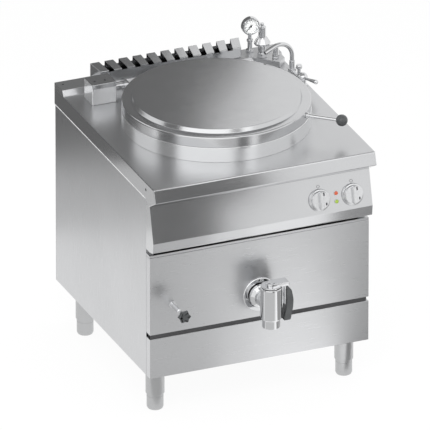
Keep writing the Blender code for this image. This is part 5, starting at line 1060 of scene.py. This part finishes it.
def ray_kind(tree, outputs):
    """One where the ray is of any of the named kinds, else nothing."""
    path = tree.nodes.new("ShaderNodeLightPath")
    value = path.outputs[outputs[0]]
    for output in outputs[1:]:
        either = tree.nodes.new("ShaderNodeMath")
        either.operation = "MAXIMUM"
        tree.links.new(value, either.inputs[0])
        tree.links.new(path.outputs[output], either.inputs[1])
        value = either.outputs[0]
    return value


def build_floor(settings):
    """A wide floor: white to the camera and to reflections, plain white paint to other light."""
    half = settings.floor_size / 2
    mesh = bpy.data.meshes.new("floor")
    corners = [(*spot, 0) for spot in rectangle(-half, half, -half, half)]
    mesh.from_pydata(corners, [], [(0, 1, 2, 3)])
    floor = bpy.data.objects.new("floor", mesh)
    bpy.context.scene.collection.objects.link(floor)
    material = bpy.data.materials.new("floor")
    material.use_nodes = True
    tree = material.node_tree
    tree.nodes.clear()
    paint = tree.nodes.new("ShaderNodeBsdfDiffuse")
    paint.inputs["Color"].default_value = (0.8, 0.8, 0.8, 1)
    glow = tree.nodes.new("ShaderNodeEmission")
    glow.inputs["Strength"].default_value = 1.0
    to_camera = tree.nodes.new("ShaderNodeMath")
    to_camera.operation = "MULTIPLY"
    to_camera.inputs[1].default_value = settings.floor_glow
    tree.links.new(ray_kind(tree, ["Is Camera Ray", "Is Transmission Ray"]), to_camera.inputs[0])
    bright = tree.nodes.new("ShaderNodeMath")
    bright.operation = "MAXIMUM"
    tree.links.new(to_camera.outputs[0], bright.inputs[0])
    tree.links.new(ray_kind(tree, ["Is Glossy Ray"]), bright.inputs[1])
    mix = tree.nodes.new("ShaderNodeMixShader")
    tree.links.new(bright.outputs[0], mix.inputs[0])
    tree.links.new(paint.outputs[0], mix.inputs[1])
    tree.links.new(glow.outputs[0], mix.inputs[2])
    output = tree.nodes.new("ShaderNodeOutputMaterial")
    tree.links.new(mix.outputs[0], output.inputs["Surface"])
    mesh.materials.append(material)
    return floor


def build_world(settings):
    """A white room: full white where it is seen or mirrored, softer where it only lights."""
    world = bpy.data.worlds.new("white_room")
    world.use_nodes = True
    tree = world.node_tree
    backdrop = tree.nodes["Background"]
    backdrop.inputs["Color"].default_value = (1, 1, 1, 1)
    level = tree.nodes.new("ShaderNodeMapRange")
    level.inputs["To Min"].default_value = settings.ambient
    level.inputs["To Max"].default_value = 1.0
    seen = ray_kind(tree, ["Is Camera Ray", "Is Glossy Ray", "Is Transmission Ray"])
    tree.links.new(seen, level.inputs["Value"])
    tree.links.new(level.outputs["Result"], backdrop.inputs["Strength"])
    bpy.context.scene.world = world


def area_light(name, place, size, power):
    """A soft square lamp aimed at the kettle's middle, which no reflection shows."""
    data = bpy.data.lights.new(name, "AREA")
    data.shape = "SQUARE"
    data.size = size
    data.energy = power
    lamp = bpy.data.objects.new(name, data)
    bpy.context.scene.collection.objects.link(lamp)
    lamp.location = place
    lamp.rotation_euler = (Vector(LAMP_AIM) - Vector(place)).to_track_quat("-Z", "Y").to_euler()
    lamp.visible_camera = False
    lamp.visible_glossy = False


def build_boards(settings):
    """Boards round the kettle: dark ones shape the steel, light ones lift its front edges.

    An upright board is a polygon of (sideways, height) on a plane at a distance along a
    direction. The camera looks along ahead, and what the left side mirrors lies along leftward,
    the same direction the other way round.
    """
    dark, pale = settings.board_grey, settings.board_pale
    ahead = unit(-CAMERA_BACK * (1, 1, 0))
    across = np.array([ahead[1], -ahead[0], 0.0])
    leftward = ahead * (-1, 1, 1)
    beside = across * (1, -1, 1)
    back_wall = rectangle(-5.0, 5.0, 0.0, 7.0)
    front_wall = rectangle(-3.5, 3.5, 1.9, 9.0)
    uprights = (
        ("board_behind", ahead * 2.0, across, dark,
         [(-4.0, 0.0), (0.25, 0.0), (0.102, 1.807), (-0.082, 2.041), (0.0, 2.35), (0.03, 2.6),
          (0.03, 5.0), (-4.0, 5.0)]),
        ("board_back", ahead * 2.2, across, settings.back_level, back_wall),
        ("board_left_rear", leftward * settings.rear_wall, beside, dark,
         rectangle(-3.0, 1.2, 0.0, 1.2)),
        ("board_front", FORWARD * 2.0, RIGHT, dark,
         [(0.06, 0.0), (0.455, 0.0), (0.455, 0.78), (0.60, 0.80), (0.60, 1.20), (0.38, 1.30),
          (0.34, 1.93), (-0.20, 1.93), (0.06, 1.30)]),
        ("board_left", RIGHT * -2.0, REARWARD, dark, rectangle(-0.78, 0.10, 0.0, 2.4)),
        ("board_bright", ahead * -3.2, across, settings.front_level, front_wall),
    )
    boards = []
    for name, origin, sideways, level, spots in uprights:
        corners = [origin + sideways * u + UP * z for u, z in spots]
        boards.append(flat_board(name, corners, level))
    run = ahead * (1, -1, 1) * 3.2
    for name, start, stop, level in (("floor_right", 0.300, 3.0, pale),
                                     ("floor_middle", 0.0, 0.295, settings.middle_level),
                                     ("floor_left", -1.6, -0.150, settings.left_level)):
        near = [np.array([x, FRONT_Y, 0.002]) for x in (start, stop)]
        boards.append(flat_board(name, [near[0], near[1], near[1] + run, near[0] + run], level))
    dark_patch = [(0.10, -1.80), (0.59, -1.80), (0.59, -3.0), (0.10, -3.0)]
    rear_patch = [(leftward * far + beside * aside)[:2]
                  for far, aside in ((1.30, -3.0), (1.30, 1.2), (1.85, 1.2), (1.85, -3.0))]
    for name, spots, level in (("floor_dark", dark_patch, dark),
                               ("floor_rear", rear_patch, settings.left_level)):
        boards.append(flat_board(name, [(*spot, 0.004) for spot in spots], level))
    ceiling = [(*spot, 3.4) for spot in rectangle(-2.5, 2.5, -1.2, 1.6)]
    boards.append(flat_board("ceiling", ceiling, pale))
    return boards


def build_camera(settings):
    """A long lens from far away, set so that the frame's width holds at the kettle."""
    data = bpy.data.cameras.new("camera")
    data.lens = settings.lens
    data.sensor_width = SENSOR
    distance = settings.frame_width / 2 / math.tan(math.atan(SENSOR / 2 / settings.lens))
    data.clip_start = 1.0
    data.clip_end = distance + 50.0
    camera = bpy.data.objects.new("camera", data)
    bpy.context.scene.collection.objects.link(camera)
    camera.location = Vector(CAMERA_TARGET + unit(CAMERA_BACK) * distance)
    camera.rotation_euler = Vector(CAMERA_BACK).to_track_quat("Z", "Y").to_euler()
    bpy.context.scene.camera = camera


def build_stage(settings):
    """Floor, white room, boards that the steel mirrors, lamps and camera."""
    floor = build_floor(settings)
    build_world(settings)
    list(build_boards(settings))
    area_light("key", (-2.2, -2.6, 3.2), 2.4, settings.key_power)
    area_light("fill", (3.0, -2.0, 2.2), 2.4, settings.fill_power)
    area_light("top", (0.2, 0.4, 4.0), 2.6, settings.top_power)
    build_camera(settings)
    bpy.context.scene.view_settings.view_transform = "Standard"


# Settings

def length(name, text, value, low=0.0):
    """A size in metres."""
    return FloatProperty(name=name, description=text, default=value, min=low, unit="LENGTH",
                         precision=5)


def factor(name, text, value):
    """A share between nothing and one."""
    return FloatProperty(name=name, description=text, default=value, min=0.0, max=1.0,
                         subtype="FACTOR")


def glow_level(name, text, value):
    """A level of light that may be over white."""
    return FloatProperty(name=name, description=text, default=value, min=0.0, max=3.0)


def lamp_power(name, text, value):
    """A lamp's power in watts."""
    return FloatProperty(name=name, description=text, default=value, min=0.0, subtype="POWER",
                         unit="POWER")


def colour(name, text, value):
    """A colour."""
    return FloatVectorProperty(name=name, description=text, default=value, min=0.0, max=1.0,
                               size=3, subtype="COLOR")


class KettleLook(bpy.types.PropertyGroup):
    """Colours and roughness of the finishes."""

    steel_colour: colour("Steel", "Colour of the folded steel sheets", (0.62, 0.625, 0.635))
    chrome_colour: colour("Chrome", "Colour of bright and plated pieces", (0.72, 0.725, 0.735))
    leg_colour: colour("Legs", "Colour of the leg tubes", (0.50, 0.505, 0.51))
    inside_colour: colour("Inside", "Colour of the steel inside the cabinet", (0.45, 0.455, 0.46))
    plastic_colour: colour("Plastic", "Colour of the black grips", (0.050, 0.053, 0.055))
    dial_colour: colour("Dial", "Colour of the gauge's dial", (0.92, 0.92, 0.91))
    print_colour: colour("Print", "Colour of the index rings on the control face",
                         (0.16, 0.16, 0.165))
    orange_colour: colour("Orange lens", "Colour of the upper lamp", (0.48, 0.08, 0.03))
    green_colour: colour("Green lens", "Colour of the lower lamp", (0.28, 0.40, 0.05))
    deck_blur: factor("Deck blur", "Roughness added on the flat deck", 0.17)
    top_roughness: factor("Worktop roughness", "How blurred the worktop's reflections are", 0.14)
    face_roughness: factor("Face roughness", "How blurred the control face's reflections are", 0.15)
    brushed_roughness: factor("Panel roughness", "How blurred the panels' reflections are", 0.30)
    turned_roughness: factor("Collar roughness", "How blurred the collar's reflections are", 0.16)
    disc_roughness: factor("Lid roughness", "How blurred the lid's reflections are", 0.20)
    bright_roughness: factor("Hinge roughness", "How blurred the hinge's reflections are", 0.16)
    leg_roughness: factor("Leg roughness", "How blurred the legs' reflections are", 0.32)
    chrome_roughness: factor("Chrome roughness", "How blurred the plating's reflections are", 0.06)
    satin_roughness: factor("Satin roughness", "How blurred the knobs' reflections are", 0.24)
    plastic_roughness: factor("Plastic roughness", "How dull the black grips are", 0.22)
    grain_depth: length("Grain depth", "Depth of the brushed lines in the sheets", 0.000002)


class KettleSizes(bpy.types.PropertyGroup):
    """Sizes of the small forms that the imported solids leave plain."""

    groove_depth: length("Foot groove depth", "Depth of the line turned round each foot", 0.0005)
    groove_drop: length("Foot groove drop", "How far that line lies below the sleeve", 0.0085)
    disc_round: length("Disc round", "Rounding of the raised disc's edge", 0.0020)
    grip_round: length("Grip round", "Rounding of the drain grip's long edges", 0.0020)
    mixer_drop: length("Mixer drop", "How far the mixer's body lies off the lever's height",
                       -0.0155, low=-0.0240)
    hem_radius: length("Hem radius", "Radius of the hem along the worktop's skirt", 0.0014)
    lobe_depth: length("Lobe depth", "Depth between the lobes of the star knob", 0.0048)


class KettleStage(bpy.types.PropertyGroup):
    """Camera, lamps and boards."""

    lens: FloatProperty(name="Lens", description="Focal length of the camera in millimetres",
                        default=1500.0, min=50.0, max=1700.0)
    frame_width: length("Frame width", "Width of the picture at the kettle", 1.4444)
    floor_size: length("Floor size", "Width of the floor", 12.0)
    floor_glow: factor("Floor glow", "Share of the floor that is plain white to the camera", 0.94)
    ambient: factor("Ambient", "Level of the room's light on dull surfaces", 0.70)
    board_grey: factor("Board grey", "Level of the dark boards", 0.17)
    board_pale: factor("Pale board", "Level of the pale floor on the right and of the ceiling", 0.38)
    left_level: factor("Left floor", "Level of the pale floor on the left and behind", 0.66)
    back_level: factor("Back level", "Level of the wall behind on the right", 0.94)
    rear_wall: length("Rear wall", "Distance of the dark wall that the left side mirrors", 1.85)
    front_level: glow_level("Front level", "Level of the bright board in front", 1.50)
    middle_level: glow_level("Middle floor", "Level of the bright patch of floor in front", 1.20)
    key_power: lamp_power("Key power", "Power of the lamp on the left", 120.0)
    fill_power: lamp_power("Fill power", "Power of the lamp on the right", 50.0)
    top_power: lamp_power("Top power", "Power of the lamp overhead", 90.0)


# Operators

class KETTLE_OT_sheet(bpy.types.Operator):
    """Finish the folded sheets and the solids inside the cabinet"""

    bl_idname = "kettle.sheet"
    bl_label = "Sheet metal"
    bl_options = {"REGISTER", "UNDO"}

    def execute(self, context):
        build_sheet()
        return {"FINISHED"}


class KETTLE_OT_seams(bpy.types.Operator):
    """Make the hems, the cheek tabs and the strip between the panels"""

    bl_idname = "kettle.seams"
    bl_label = "Seams"
    bl_options = {"REGISTER", "UNDO"}

    def execute(self, context):
        build_seams(context.scene.kettle_sizes)
        return {"FINISHED"}


class KETTLE_OT_legs(bpy.types.Operator):
    """Turn the leg sleeves and the feet"""

    bl_idname = "kettle.legs"
    bl_label = "Legs"
    bl_options = {"REGISTER", "UNDO"}

    def execute(self, context):
        build_legs(context.scene.kettle_sizes)
        return {"FINISHED"}


class KETTLE_OT_vessel(bpy.types.Operator):
    """Turn the collar and the cooking vessel"""

    bl_idname = "kettle.vessel"
    bl_label = "Collar and vessel"
    bl_options = {"REGISTER", "UNDO"}

    def execute(self, context):
        build_vessel()
        return {"FINISHED"}


class KETTLE_OT_lid(bpy.types.Operator):
    """Turn the lid and its ball handle"""

    bl_idname = "kettle.lid"
    bl_label = "Lid and handle"
    bl_options = {"REGISTER", "UNDO"}

    def execute(self, context):
        build_lid(context.scene.kettle_sizes)
        return {"FINISHED"}


class KETTLE_OT_hinge(bpy.types.Operator):
    """Make the hinge tower's cover, screws, sleeve, axle and pin"""

    bl_idname = "kettle.hinge"
    bl_label = "Hinge"
    bl_options = {"REGISTER", "UNDO"}

    def execute(self, context):
        build_hinge()
        return {"FINISHED"}


class KETTLE_OT_controls(bpy.types.Operator):
    """Make the two knobs, their index rings and the lamps"""

    bl_idname = "kettle.controls"
    bl_label = "Controls"
    bl_options = {"REGISTER", "UNDO"}

    def execute(self, context):
        build_controls()
        return {"FINISHED"}


class KETTLE_OT_drain(bpy.types.Operator):
    """Make the drain tap with its arm and grip"""

    bl_idname = "kettle.drain"
    bl_label = "Drain tap"
    bl_options = {"REGISTER", "UNDO"}

    def execute(self, context):
        build_drain(context.scene.kettle_sizes)
        return {"FINISHED"}


class KETTLE_OT_level(bpy.types.Operator):
    """Make the level tap with its star knob"""

    bl_idname = "kettle.level"
    bl_label = "Level tap"
    bl_options = {"REGISTER", "UNDO"}

    def execute(self, context):
        build_level(context.scene.kettle_sizes)
        return {"FINISHED"}


class KETTLE_OT_valves(bpy.types.Operator):
    """Make the pressure gauge, the safety valve and the vent valve"""

    bl_idname = "kettle.valves"
    bl_label = "Gauge and valves"
    bl_options = {"REGISTER", "UNDO"}

    def execute(self, context):
        build_valves()
        return {"FINISHED"}


class KETTLE_OT_mixer(bpy.types.Operator):
    """Make the water mixer with its swan neck, lever and knob"""

    bl_idname = "kettle.mixer"
    bl_label = "Water mixer"
    bl_options = {"REGISTER", "UNDO"}

    def execute(self, context):
        build_mixer(context.scene.kettle_sizes)
        return {"FINISHED"}


class KETTLE_OT_stage(bpy.types.Operator):
    """Set the floor, the white room, the boards, the lamps and the camera"""

    bl_idname = "kettle.stage"
    bl_label = "Stage"
    bl_options = {"REGISTER", "UNDO"}

    def execute(self, context):
        build_stage(context.scene.kettle_stage)
        return {"FINISHED"}


OPERATORS = (KETTLE_OT_sheet, KETTLE_OT_seams, KETTLE_OT_legs, KETTLE_OT_vessel, KETTLE_OT_lid,
             KETTLE_OT_hinge, KETTLE_OT_controls, KETTLE_OT_drain, KETTLE_OT_level,
             KETTLE_OT_valves, KETTLE_OT_mixer, KETTLE_OT_stage)
GROUPS = (("kettle_look", KettleLook), ("kettle_sizes", KettleSizes), ("kettle_stage", KettleStage))


class KETTLE_PT_panel(bpy.types.Panel):
    """Settings and one button for each group of pieces."""

    bl_label = "Steam jacketed kettle"
    bl_idname = "KETTLE_PT_panel"
    bl_space_type = "VIEW_3D"
    bl_region_type = "UI"
    bl_category = "Kettle"

    def draw(self, context):
        for attribute, group in GROUPS:
            box = self.layout.box()
            for field in group.__annotations__:
                box.prop(getattr(context.scene, attribute), field)
        for operator in OPERATORS:
            self.layout.operator(operator.bl_idname)


def register():
    for attribute, group in GROUPS:
        bpy.utils.register_class(group)
        setattr(bpy.types.Scene, attribute, PointerProperty(type=group))
    for operator in OPERATORS:
        bpy.utils.register_class(operator)
    bpy.utils.register_class(KETTLE_PT_panel)


def unregister():
    bpy.utils.unregister_class(KETTLE_PT_panel)
    for operator in reversed(OPERATORS):
        bpy.utils.unregister_class(operator)
    for attribute, group in reversed(GROUPS):
        delattr(bpy.types.Scene, attribute)
        bpy.utils.unregister_class(group)


def main():
    register()
    for operator in OPERATORS:
        group, name = operator.bl_idname.split(".")
        getattr(getattr(bpy.ops, group), name)()


if __name__ == "__main__":
    main()
